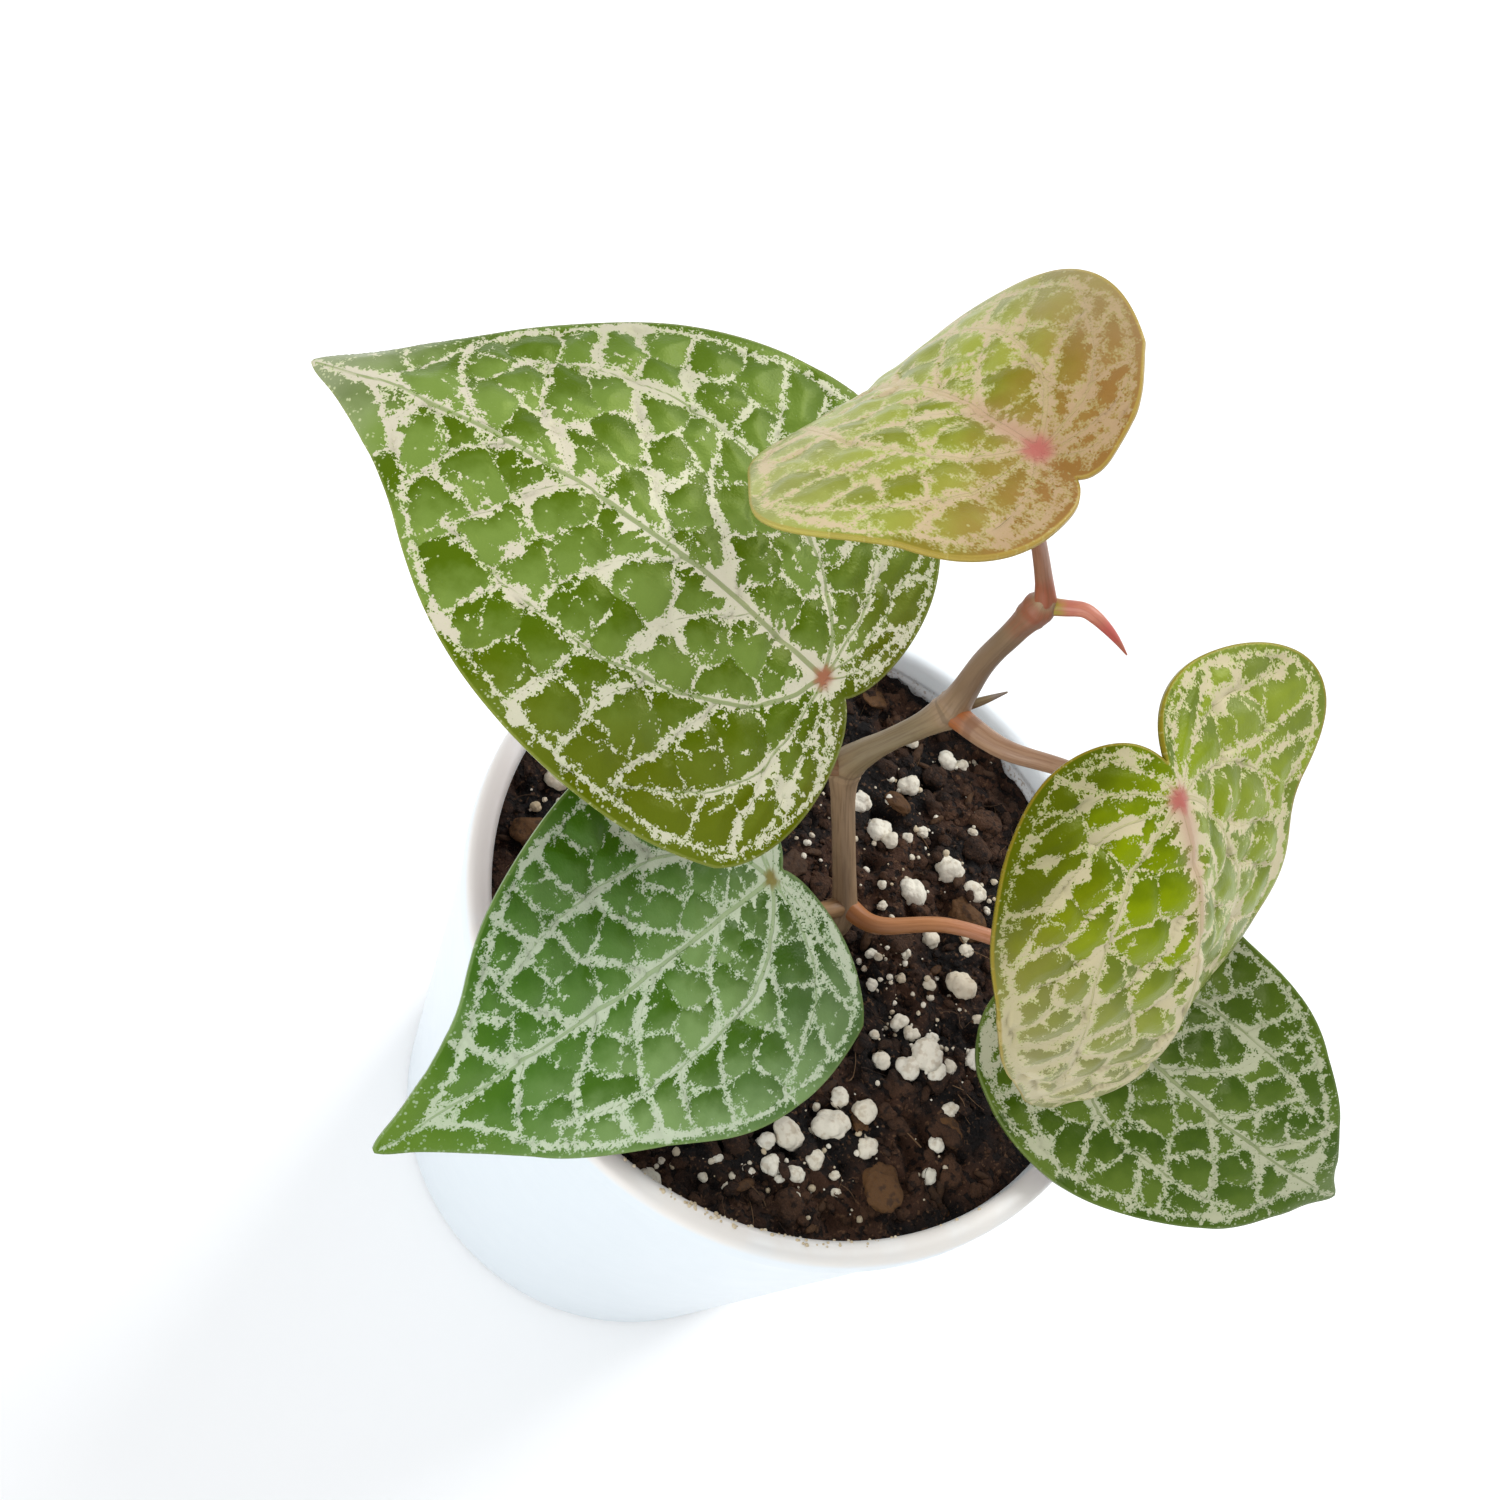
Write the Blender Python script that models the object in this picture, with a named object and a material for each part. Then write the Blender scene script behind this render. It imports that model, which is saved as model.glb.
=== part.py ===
# Young ornamental pepper vine in a small round pot.
#
# World frame: metres, +Z up. The origin is the centre of the pot's flat base, on the surface
# that the pot stands on. The plant leans over the rim towards -X, and its near side is -Y.
# Sizes below are in millimetres and are turned into metres where the meshes are made.
# Every blade is one surface bent by a formula: a flat heart-shaped outline is laid along a
# curved midrib, folded and cupped to each side of it, and puffed up between its sunken veins.

import math
import random
from dataclasses import dataclass

import bmesh
import bpy
import numpy as np
from mathutils import Vector, noise
from mathutils.bvhtree import BVHTree

MM = 0.001
CLEARANCE = 0.3            # gap left between pieces that touch on the real plant

# Pot
RIM_RADIUS = 38.0
BASE_RADIUS = 30.0
POT_HEIGHT = 75.0
WALL = 1.4
FLOOR = 2.0
LIP_WIDTH = 2.7
LIP_HEIGHT = 3.6
LIP_OVERHANG = 0.5         # how far the lip stands out from the wall below it
CORNER = 0.8               # bevel of the pot's edges
DRAIN_HOLES = 5
DRAIN_RADIUS = 3.0
DRAIN_CIRCLE = 18.0
POT_STEPS = 56

# Soil
SOIL_LEVEL = 70.0
SOIL_ROUGHNESS = 0.9       # height of its crumbs
SOIL_STEPS = 44
SOIL_RINGS = 9
GRAIN_COUNT = 62
CHIP_COUNT = 7
GRAIN_SEED = 11
GRAIN_RADII = (0.7, 0.8, 1.0, 1.2, 1.5, 1.9)
CLUSTERED_SHARE = 0.45     # share of the grains that lie in the clusters
STEM_HOLE_RADIUS = 2.1
STEM_HOLE_DEPTH = 15.0

# Where perlite lies thickest on the soil: x, y, spread
GRAIN_CLUSTERS = ((-4.0, -19.0, 6.0), (11.0, -18.0, 6.0), (11.0, 5.0, 6.0), (14.0, 0.0, 5.0))

# Stem and stalks
STEM_SIDES = 4             # bevel resolution of the stem's round section
STALK_SIDES = 2
TUBE_STEP = 1.6            # spacing of the points along a stem
STALK_STEP = 2.2
BLADE_THICKNESS = 0.7

# Stem from its foot in the soil to its tip: x, y, z, radius. It swells at its three nodes.
STEM_ROUTE = (
    (3.2, 3.3, 56.0, 1.1),
    (3.2, 3.3, 64.0, 1.5),
    (3.1, 3.4, 71.0, 1.5),
    (1.6, 4.2, 74.0, 1.35),
    (-1.8, 5.6, 79.0, 1.25),
    (-5.4, 7.1, 84.6, 1.3),
    (-7.1, 7.8, 88.0, 1.75),
    (-6.8, 8.2, 91.0, 1.5),
    (-5.6, 9.4, 94.0, 1.2),
    (-4.0, 11.2, 97.2, 1.3),
    (-2.9, 12.5, 100.2, 1.75),
    (-3.0, 13.1, 103.0, 1.45),
    (-3.5, 13.5, 108.5, 1.2),
    (-3.3, 14.2, 114.5, 1.2),
    (-3.1, 14.7, 118.0, 1.55),
    (-3.2, 14.7, 119.6, 1.1),
)
NODE_LOW = Vector((-7.1, 7.8, 88.0))
NODE_MIDDLE = Vector((-2.9, 12.5, 100.2))
STEM_TIP = Vector((-3.2, 14.7, 119.6))
STEM_FOOT = Vector((2.4, 3.8, 72.6))
NODE_RADIUS = 1.75
FOOT_RADIUS = 1.5
TIP_RISE = 0.5             # how far above the stem's tip its last stalk starts


@dataclass(frozen=True)
class Blade:
    """One leaf blade, bent from a flat heart shape.

    Lengths are in millimetres and angles in radians. Left and right are as seen from above
    with the tip ahead. The five fullness values swell or pinch one side's outline at the tip,
    shoulder, belly, hip and lobe.
    """

    name: str
    junction: tuple         # where the stalk meets the blade
    forward: tuple          # direction of the midrib there
    upward: tuple           # direction that the upper face looks in there
    length: float           # junction to tip along the midrib
    widths: tuple           # width factor, left and right
    lobe: float             # length factor of the two lobes behind the junction
    sinus: float            # depth of the notch between the lobes, as a share of the length
    arch: tuple             # how far the midrib bends down by its tip: steady, growing part
    lobe_curl: float        # how far the lobes bend down per blade length
    sweep: float            # how far the midrib bends to the left by its tip
    twist: float
    fold_left: tuple        # upward fold of that half: at the junction, change by the tip
    fold_right: tuple
    cup: tuple              # upward curl across each half, left and right
    full_left: tuple
    full_right: tuple
    rays: int               # mesh lines from the junction to the edge
    rings: int              # mesh lines around the junction
    stalk: tuple            # route of its stalk, from near the stem to below the blade
    stalk_radius: float
    stalk_foot: Vector      # point of the stem's centre line that the stalk leaves
    foot_radius: float


BLADES = (
    Blade(
        name="leaf_a", junction=(-14.9, 0.4, 108.0), forward=(-0.87, -0.21, 0.45), upward=(0.47, -0.11, 0.87),
        length=58.0, widths=(0.99, 1.13), lobe=0.58, sinus=0.095, arch=(0.49, 0.62), lobe_curl=0.0,
        sweep=0.03, twist=0.06, fold_left=(0.02, -0.37), fold_right=(0.07, -0.46), cup=(-0.04, -0.15),
        full_left=(-0.03, 0.0, 0.01, 0.02, -0.07), full_right=(0.01, 0.01, 0.02, -0.01, 0.01),
        rays=40, rings=10, stalk=((-10.0, 5.2, 89.6), (-12.9, 2.8, 95.5), (-15.2, 1.2, 103.2)),
        stalk_radius=0.85, stalk_foot=NODE_LOW, foot_radius=NODE_RADIUS,
    ),
    Blade(
        name="leaf_b", junction=(-6.6, -7.8, 87.0), forward=(-0.21, -0.98, 0.01), upward=(0.41, -0.08, 0.91),
        length=47.8, widths=(1.02, 1.03), lobe=0.42, sinus=0.08, arch=(0.25, 0.21), lobe_curl=0.03,
        sweep=-0.04, twist=-0.12, fold_left=(0.06, -0.12), fold_right=(0.09, 0.04), cup=(0.10, -0.15),
        full_left=(-0.02, -0.07, 0.02, 0.01, 0.0), full_right=(-0.06, -0.02, 0.02, 0.0, 0.0),
        rays=40, rings=10, stalk=((0.7, 0.8, 73.7), (-2.6, -3.6, 77.6), (-6.2, -6.9, 83.6)),
        stalk_radius=0.85, stalk_foot=STEM_FOOT, foot_radius=FOOT_RADIUS,
    ),
    Blade(
        name="leaf_c", junction=(-12.6, 5.5, 143.0), forward=(-0.92, 0.30, -0.26), upward=(-0.19, 0.26, 0.95),
        length=33.4, widths=(1.14, 1.09), lobe=1.09, sinus=0.11, arch=(1.21, 0.22), lobe_curl=-1.16,
        sweep=-0.55, twist=0.08, fold_left=(-0.33, -0.29), fold_right=(0.82, -0.28), cup=(0.0, 0.0),
        full_left=(0.02, 0.10, 0.33, 0.08, -0.10), full_right=(-0.02, -0.07, 0.04, -0.10, -0.17),
        rays=36, rings=8, stalk=((-4.6, 14.4, 122.0), (-7.3, 12.4, 127.5), (-11.2, 7.2, 137.6)),
        stalk_radius=0.72, stalk_foot=STEM_TIP, foot_radius=TIP_RISE,
    ),
    Blade(
        name="leaf_d", junction=(16.9, 5.5, 120.0), forward=(0.84, -0.32, -0.44), upward=(0.48, 0.03, 0.88),
        length=47.3, widths=(1.15, 1.11), lobe=1.05, sinus=0.07, arch=(1.10, 0.64), lobe_curl=1.25,
        sweep=-0.12, twist=-0.02, fold_left=(-0.23, -0.27), fold_right=(-0.42, 0.06), cup=(0.53, -0.07),
        full_left=(-0.10, -0.14, -0.17, 0.30, 0.02), full_right=(0.05, 0.07, 0.03, 0.0, -0.06),
        rays=40, rings=10, stalk=((3.2, 10.6, 103.2), (8.5, 10.1, 107.2), (15.6, 6.6, 116.2)),
        stalk_radius=0.9, stalk_foot=NODE_MIDDLE, foot_radius=NODE_RADIUS,
    ),
    Blade(
        name="leaf_e", junction=(26.8, 7.2, 84.0), forward=(0.96, -0.28, 0.08), upward=(-0.27, -0.74, 0.62),
        length=38.3, widths=(1.09, 1.06), lobe=0.75, sinus=0.08, arch=(0.41, 0.55), lobe_curl=-0.02,
        sweep=0.10, twist=0.08, fold_left=(0.0, -0.07), fold_right=(0.31, -0.18), cup=(-0.25, 0.45),
        full_left=(0.03, 0.02, -0.06, -0.06, 0.0), full_right=(0.02, -0.03, 0.03, 0.0, 0.0),
        rays=40, rings=10, stalk=((6.6, 3.6, 73.9), (12.6, 7.4, 76.6), (20.5, 9.8, 78.6), (26.2, 10.2, 81.4)),
        stalk_radius=0.85, stalk_foot=STEM_FOOT, foot_radius=FOOT_RADIUS,
    ),
)

# Flat heart outline of a blade of length 1: angle from the tip in degrees, reach from the junction
EDGE_ANGLES = (0, 2.5, 7, 18.5, 35, 53, 76, 104, 133, 156, 180)
EDGE_REACH = (1.0, 0.93, 0.857, 0.738, 0.61, 0.50, 0.407, 0.33, 0.26, 0.175, 0.08)
NOTCH_SHOULDER = 0.135     # reach beside the notch, to which half of the notch's own reach is added
FULLNESS_ANGLES = (12, 32, 62, 100, 142)
FULLNESS_SPANS = (10, 15, 20, 24, 24)
CUP_WIDTH = 0.4            # share of the length over which a half's cup is reached
PUFF_HEIGHT = 0.11         # height of the cells between the veins, as a share of their width
PUFF_LIMIT = 0.8           # highest puff

# Shoot bud that ends the stem, and the dry scale left at the middle node: x, y, z, radius
BUD_ROUTE = (
    (-1.45, 15.4, 119.0, 0.75),
    (0.2, 15.9, 120.3, 0.95),
    (1.5, 16.0, 120.4, 0.85),
    (3.2, 16.3, 119.8, 0.7),
    (6.2, 16.9, 118.0, 0.18),
)
SCALE_ROUTE = (
    (-1.35, 14.2, 101.3, 0.5),
    (-0.5, 15.2, 102.1, 0.4),
    (0.6, 16.6, 103.1, 0.14),
)


def clear_scene():
    """Remove whatever the file held before."""
    for item in list(bpy.data.objects):
        bpy.data.objects.remove(item, do_unlink=True)


def material(name, colour, roughness):
    """Plain finish with a display colour."""
    made = bpy.data.materials.new(name)
    made.use_nodes = True
    shader = made.node_tree.nodes["Principled BSDF"]
    shader.inputs["Base Color"].default_value = (*colour, 1.0)
    shader.inputs["Roughness"].default_value = roughness
    made.diffuse_color = (*colour, 1.0)
    return made


def add_object(name, mesh, finish):
    """Link one named object that carries the mesh and its finish."""
    item = bpy.data.objects.new(name, mesh)
    item.data.materials.append(finish)
    bpy.context.scene.collection.objects.link(item)
    return item


def mesh_from(shape, name):
    """Turn a finished bmesh in millimetres into a mesh in metres."""
    bmesh.ops.scale(shape, vec=(MM, MM, MM), verts=shape.verts)
    mesh = bpy.data.meshes.new(name)
    shape.to_mesh(mesh)
    shape.free()
    return mesh


def turned(profile, steps):
    """Spin a closed (radius, height) profile about Z; its ends lie on the axis."""
    shape = bmesh.new()
    ring = [shape.verts.new((radius, 0.0, height)) for radius, height in profile]
    edges = [shape.edges.new(pair) for pair in zip(ring[:-1], ring[1:])]
    bmesh.ops.spin(
        shape, geom=ring + edges, cent=(0, 0, 0), axis=(0, 0, 1),
        angle=2 * math.pi, steps=steps, use_merge=True,
    )
    bmesh.ops.remove_doubles(shape, verts=shape.verts, dist=0.001)
    bmesh.ops.recalc_face_normals(shape, faces=shape.faces)
    return shape


def cutter(shape, name):
    """Guide object for a Boolean, left out of the finished part."""
    item = bpy.data.objects.new(name, mesh_from(shape, name))
    item.hide_render = True
    item.display_type = "WIRE"
    bpy.context.scene.collection.objects.link(item)
    return item


def apply_modifiers(item):
    """Keep the evaluated mesh and drop the modifiers."""
    graph = bpy.context.evaluated_depsgraph_get()
    item.data = bpy.data.meshes.new_from_object(item.evaluated_get(graph))
    item.modifiers.clear()


def cut_away(item, tool):
    """Cut a tool out of a piece and remove the tool."""
    change = item.modifiers.new("cut", "BOOLEAN")
    change.operation = "DIFFERENCE"
    change.object = tool
    apply_modifiers(item)
    bpy.data.objects.remove(tool, do_unlink=True)


def upright_cylinder(shape, centre, radius, low, high, sides):
    """Add a capped vertical cylinder."""
    made = bmesh.ops.create_cone(
        shape, cap_ends=True, segments=sides, radius1=radius, radius2=radius, depth=high - low,
    )
    bmesh.ops.translate(shape, vec=(centre[0], centre[1], (low + high) / 2), verts=made["verts"])


def outer_radius(height):
    """Radius of the pot's tapered outer wall."""
    foot_of_lip = POT_HEIGHT - LIP_HEIGHT
    return BASE_RADIUS + (RIM_RADIUS - LIP_OVERHANG - BASE_RADIUS) * height / foot_of_lip


def build_pot():
    """Tapered cup with a rolled lip, a flat base and drain holes off its centre."""
    lip_low = POT_HEIGHT - LIP_HEIGHT
    lip_inner = RIM_RADIUS - LIP_WIDTH
    profile = (
        (0.0, 0.0),
        (BASE_RADIUS - CORNER, 0.0),
        (BASE_RADIUS, CORNER),
        (outer_radius(lip_low), lip_low),
        (RIM_RADIUS, lip_low + LIP_OVERHANG),
        (RIM_RADIUS, POT_HEIGHT - CORNER),
        (RIM_RADIUS - CORNER, POT_HEIGHT),
        (lip_inner + CORNER, POT_HEIGHT),
        (lip_inner, POT_HEIGHT - CORNER),
        (lip_inner, lip_low + LIP_OVERHANG),
        (outer_radius(lip_low - 1.0) - WALL, lip_low - 1.0),
        (outer_radius(FLOOR) - WALL, FLOOR),
        (0.0, FLOOR),
    )
    finish = material("pot_plastic", (0.83, 0.85, 0.86), 0.35)
    pot = add_object("pot", mesh_from(turned(profile, POT_STEPS), "pot"), finish)
    holes = bmesh.new()
    for index in range(DRAIN_HOLES):
        angle = 2 * math.pi * index / DRAIN_HOLES
        centre = (DRAIN_CIRCLE * math.cos(angle), DRAIN_CIRCLE * math.sin(angle))
        upright_cylinder(holes, centre, DRAIN_RADIUS, -FLOOR, 2 * FLOOR, 16)
    cut_away(pot, cutter(holes, "drain_cutter"))


def soil_height(x, y):
    """Level of the soil's crumbly top, which settles a little at the wall."""
    crumbs = noise.noise(Vector((x, y, 3.0)) * 0.33) + 0.5 * noise.noise(Vector((x, y, 9.0)) * 0.8)
    edge = math.hypot(x, y) / (RIM_RADIUS - LIP_WIDTH)
    return SOIL_LEVEL + SOIL_ROUGHNESS * crumbs - 0.7 * edge ** 4


def soil_body():
    """Plug of soil that fills the pot, with a crumbly top."""
    profile = [(0.0, FLOOR + CLEARANCE), (outer_radius(FLOOR) - WALL - CLEARANCE, FLOOR + CLEARANCE)]
    top_radius = outer_radius(SOIL_LEVEL) - WALL - CLEARANCE - 0.1
    for ring in range(SOIL_RINGS, -1, -1):
        profile.append((top_radius * ring / SOIL_RINGS, SOIL_LEVEL))
    shape = turned(profile, SOIL_STEPS)
    for vert in shape.verts:
        if vert.co.z > SOIL_LEVEL - 0.01:
            vert.co.z = soil_height(vert.co.x, vert.co.y)
    return shape


def grain_spots(chance):
    """Seeded places and radii of the perlite grains, most of them in the clusters."""
    reach = RIM_RADIUS - LIP_WIDTH - 3.5
    spots = []
    while len(spots) < GRAIN_COUNT:
        if chance.random() < CLUSTERED_SHARE:
            cx, cy, spread = chance.choice(GRAIN_CLUSTERS)
            x, y = chance.gauss(cx, spread / 2), chance.gauss(cy, spread / 2)
        else:
            angle, away = chance.uniform(0, 2 * math.pi), reach * math.sqrt(chance.random())
            x, y = away * math.cos(angle), away * math.sin(angle)
        radius = chance.choice(GRAIN_RADII)
        clear_of_stem = math.hypot(x - STEM_ROUTE[0][0], y - STEM_ROUTE[0][1]) > STEM_HOLE_RADIUS + 2.2
        apart = all(math.hypot(x - a, y - b) > 0.85 * (radius + c) for a, b, c in spots)
        if clear_of_stem and apart and math.hypot(x, y) < reach:
            spots.append((x, y, radius))
    return spots


def add_lump(shape, chance, centre, size):
    """Add one angular lump: a jittered icosahedron."""
    made = bmesh.ops.create_icosphere(shape, subdivisions=1, radius=1.0)
    turn = chance.uniform(0, math.pi)
    for vert in made["verts"]:
        vert.co *= chance.uniform(0.82, 1.12)
        x, y, z = vert.co.x * size[0], vert.co.y * size[1], vert.co.z * size[2]
        vert.co = Vector((
            centre[0] + x * math.cos(turn) - y * math.sin(turn),
            centre[1] + x * math.sin(turn) + y * math.cos(turn),
            centre[2] + z,
        ))


def build_soil():
    """Potting soil with perlite grains and bark chips grown into its top."""
    finish = material("potting_soil", (0.05, 0.03, 0.02), 0.95)
    body = soil_body()
    surface = BVHTree.FromBMesh(body)
    soil = add_object("soil", mesh_from(body, "soil"), finish)
    hole = bmesh.new()
    upright_cylinder(hole, STEM_ROUTE[0], STEM_HOLE_RADIUS, SOIL_LEVEL - STEM_HOLE_DEPTH, SOIL_LEVEL + 5, 12)
    cut_away(soil, cutter(hole, "hole_cutter"))
    chance = random.Random(GRAIN_SEED)
    lumps = bpy.data.collections.new("lumps")
    spots = grain_spots(chance)
    sizes = [(radius, 0.85 * radius, 0.8 * radius) for _, _, radius in spots]
    for index in range(CHIP_COUNT):
        radius = 3.0 - 0.25 * index
        sizes[index * 8] = (radius, 0.7 * radius, 0.45 * radius)
    for index, ((x, y, _), size) in enumerate(zip(spots, sizes)):
        ground = surface.ray_cast(Vector((x, y, POT_HEIGHT)), Vector((0, 0, -1)))[0].z
        lump = bmesh.new()
        add_lump(lump, chance, (x, y, ground + 0.1 * size[2]), size)
        piece = bpy.data.objects.new(f"lump_{index}", mesh_from(lump, f"lump_{index}"))
        lumps.objects.link(piece)
    join = soil.modifiers.new("join", "BOOLEAN")
    join.operation = "UNION"
    join.operand_type = "COLLECTION"
    join.collection = lumps
    join.solver = "EXACT"
    apply_modifiers(soil)
    for piece in list(lumps.objects):
        bpy.data.objects.remove(piece, do_unlink=True)
    bpy.data.collections.remove(lumps)


def smooth_route(route, step):
    """Points along the smooth curve through a route, with every value blended."""
    knots = np.array(route, dtype=float)
    padded = np.vstack((2 * knots[0] - knots[1], knots, 2 * knots[-1] - knots[-2]))
    points = []
    for index in range(1, len(padded) - 2):
        before, here, there, after = padded[index - 1:index + 3]
        count = max(2, round(float(np.linalg.norm((there - here)[:3])) / step))
        for t in np.arange(count) / count:
            bend = 2 * here + (there - before) * t
            bend = bend + (2 * before - 5 * here + 4 * there - after) * t ** 2
            points.append(0.5 * (bend + (3 * here - before - 3 * there + after) * t ** 3))
    return points + [knots[-1]]


def tube(name, route, step, sides, finish):
    """Round stem of varying thickness along a smooth route, as a bevelled curve."""
    points = smooth_route(route, step)
    curve = bpy.data.curves.new(name, "CURVE")
    curve.dimensions = "3D"
    curve.bevel_depth = MM
    curve.bevel_resolution = sides
    curve.use_fill_caps = True
    spline = curve.splines.new("POLY")
    spline.points.add(len(points) - 1)
    for knot, (x, y, z, radius) in zip(spline.points, points):
        knot.co = (x * MM, y * MM, z * MM, 1.0)
        knot.radius = radius
    return add_object(name, curve, finish)


def stalk_route(blade):
    """Route of a leaf stalk from just clear of the stem to just below its blade."""
    first = Vector(blade.stalk[0])
    outward = (first - blade.stalk_foot).normalized()
    start = blade.stalk_foot + outward * (blade.foot_radius + CLEARANCE)
    ridge = max(0.0, -blade.fold_left[0], -blade.fold_right[0])
    below = BLADE_THICKNESS / 2 + CLEARANCE + 0.1 + 1.2 * blade.stalk_radius * ridge
    end = Vector(blade.junction) - Vector(blade.upward).normalized() * below
    radius = blade.stalk_radius
    route = [(*start, 1.25 * radius)]
    route += [(*point, radius) for point in blade.stalk]
    return route + [(*end, 1.05 * radius)]


def build_stems():
    """Zigzag stem, the stalk of each leaf, the shoot bud and the dry scale."""
    brown = material("stem_brown", (0.26, 0.18, 0.12), 0.6)
    salmon = material("stalk_salmon", (0.55, 0.27, 0.16), 0.5)
    pink = material("bud_pink", (0.60, 0.16, 0.16), 0.45)
    tube("stem", STEM_ROUTE, TUBE_STEP, STEM_SIDES, brown)
    for blade in BLADES:
        tube(blade.name.replace("leaf", "stalk"), stalk_route(blade), STALK_STEP, STALK_SIDES, salmon)
    tube("shoot_bud", BUD_ROUTE, 1.0, STALK_SIDES, pink)
    tube("dry_scale", SCALE_ROUTE, 1.0, STALK_SIDES, brown)


def hermite(x, knots, values):
    """Smooth curve through values at knots."""
    knots, values = np.array(knots, dtype=float), np.array(values, dtype=float)
    slopes = np.gradient(values, knots)
    index = np.clip(np.searchsorted(knots, x, side="right") - 1, 0, len(knots) - 2)
    span = knots[index + 1] - knots[index]
    t = (x - knots[index]) / span
    start = (2 * t ** 3 - 3 * t ** 2 + 1) * values[index] + (t ** 3 - 2 * t ** 2 + t) * span * slopes[index]
    return start + (3 * t ** 2 - 2 * t ** 3) * values[index + 1] + (t ** 3 - t ** 2) * span * slopes[index + 1]


def fullness(angle, amounts):
    """Factor that swells one side's outline, fading out at the tip and the notch."""
    swell = np.zeros_like(angle)
    for centre, span, amount in zip(FULLNESS_ANGLES, FULLNESS_SPANS, amounts):
        swell += amount * np.exp(-((angle - centre) / span) ** 2)
    return 1 + swell * np.clip(angle / 6, 0, 1) * np.clip((180 - angle) / 12, 0, 1)


def flat_points(blade, angle, share):
    """Flat place of points at an angle in degrees, left positive, and a share of the way out."""
    side = np.abs(angle)
    reach = np.array(EDGE_REACH)
    reach[-1] = blade.sinus
    reach[-2] = NOTCH_SHOULDER + blade.sinus / 2
    out = hermite(side, EDGE_ANGLES, reach) * share
    out *= np.where(angle > 0, fullness(side, blade.full_left), fullness(side, blade.full_right))
    along, across = out * np.cos(np.radians(angle)), out * np.sin(np.radians(angle))
    along = np.where(along < 0, along * blade.lobe, along)
    return along, across * np.where(across > 0, blade.widths[0], blade.widths[1])


def unit(vector):
    """Vector of length one."""
    return np.array(vector) / np.linalg.norm(vector)


def midrib_frames(blade, stations):
    """Centre line of the bent blade and its side and upward directions, at the stations."""
    forward = unit(blade.forward)
    upward = unit(np.array(blade.upward) - forward * np.dot(blade.upward, forward))
    leftward = np.cross(upward, forward)
    ahead = np.clip(stations, 0, None)
    droop = blade.arch[0] * ahead + blade.arch[1] * ahead ** 2 + blade.lobe_curl * np.clip(stations, None, 0)
    sweep, twist = blade.sweep * stations, blade.twist * stations
    level = np.outer(np.cos(sweep), forward) + np.outer(np.sin(sweep), leftward)
    side = np.outer(np.cos(sweep), leftward) - np.outer(np.sin(sweep), forward)
    tangent = np.cos(droop)[:, None] * level - np.outer(np.sin(droop), upward)
    rise = np.sin(droop)[:, None] * level + np.outer(np.cos(droop), upward)
    cos_twist, sin_twist = np.cos(twist)[:, None], np.sin(twist)[:, None]
    side, rise = cos_twist * side + sin_twist * rise, cos_twist * rise - sin_twist * side
    steps = (tangent[1:] + tangent[:-1]) / 2 * np.diff(stations)[:, None]
    centre = np.vstack((np.zeros(3), np.cumsum(steps, axis=0)))
    start = [np.interp(0.0, stations, centre[:, axis]) for axis in range(3)]
    return (centre - start) * blade.length + blade.junction, side, rise


def bend_blade(blade, along, across):
    """Place flat points on the blade's bent middle surface."""
    stations = np.linspace(-0.4, 1.05, 146)
    centre, side, rise = (
        np.stack([np.interp(along, stations, values[:, axis]) for axis in range(3)], axis=-1)
        for values in midrib_frames(blade, stations)
    )
    left = across > 0
    fold = np.where(
        left, blade.fold_left[0] + blade.fold_left[1] * along, blade.fold_right[0] + blade.fold_right[1] * along,
    )
    curl = np.where(left, blade.cup[0], blade.cup[1]) / (CUP_WIDTH * blade.length)
    curl = np.where(np.abs(curl) < 1e-6, 1e-6, curl)
    reach = np.abs(across) * blade.length
    outward = (np.sin(fold + curl * reach) - np.sin(fold)) / curl
    lift = (np.cos(fold) - np.cos(fold + curl * reach)) / curl
    return centre + side * (np.sign(across) * outward)[..., None] + rise * lift[..., None]


def ray_angles(count):
    """Angles of the mesh lines, closest together at the tip and at the notch."""
    half = np.arange(count // 2 + 1) / (count // 2)
    angles = 180 * (0.75 * half ** 1.6 + 0.25 * half)
    return np.concatenate((-angles[:0:-1], angles[:-1]))


def blade_surface(blade):
    """Vertices and triangles of the bent blade, with each cell between the veins puffed up."""
    angle, share = np.meshgrid(ray_angles(blade.rays), np.arange(1, blade.rings + 1) / blade.rings)
    points = bend_blade(blade, *flat_points(blade, angle, share))
    around = np.roll(points, -1, axis=1) - np.roll(points, 1, axis=1)
    outward = np.gradient(points, axis=0)
    facing = np.cross(outward, around)
    facing /= np.linalg.norm(facing, axis=2)[..., None]
    width = np.minimum(np.linalg.norm(around, axis=2), 2 * np.linalg.norm(outward, axis=2))
    ring, ray = np.indices(angle.shape)
    cell_middle = (ring % 2 == 0) & (ray % 2 == 1) & (ring < blade.rings - 1)
    puff = np.where(cell_middle, np.minimum(PUFF_HEIGHT * width, PUFF_LIMIT), 0.0)
    points = points + facing * puff[..., None]
    vertices = [tuple(blade.junction)] + [tuple(point) for point in points.reshape(-1, 3)]
    return vertices, blade_triangles(blade.rings, blade.rays)


def blade_triangles(rings, rays):
    """Triangles of the blade's mesh; each diagonal runs from a cell's middle to a corner."""
    def number(ring, ray):
        return 1 + ring * rays + ray % rays

    triangles = [(0, number(0, ray), number(0, ray + 1)) for ray in range(rays)]
    for ring in range(rings - 1):
        for ray in range(rays):
            near, near_next = number(ring, ray), number(ring, ray + 1)
            far, far_next = number(ring + 1, ray), number(ring + 1, ray + 1)
            if (ring + ray) % 2 == 1:
                triangles += [(near, far, far_next), (near, far_next, near_next)]
            else:
                triangles += [(near, far, near_next), (near_next, far, far_next)]
    return triangles


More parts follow.
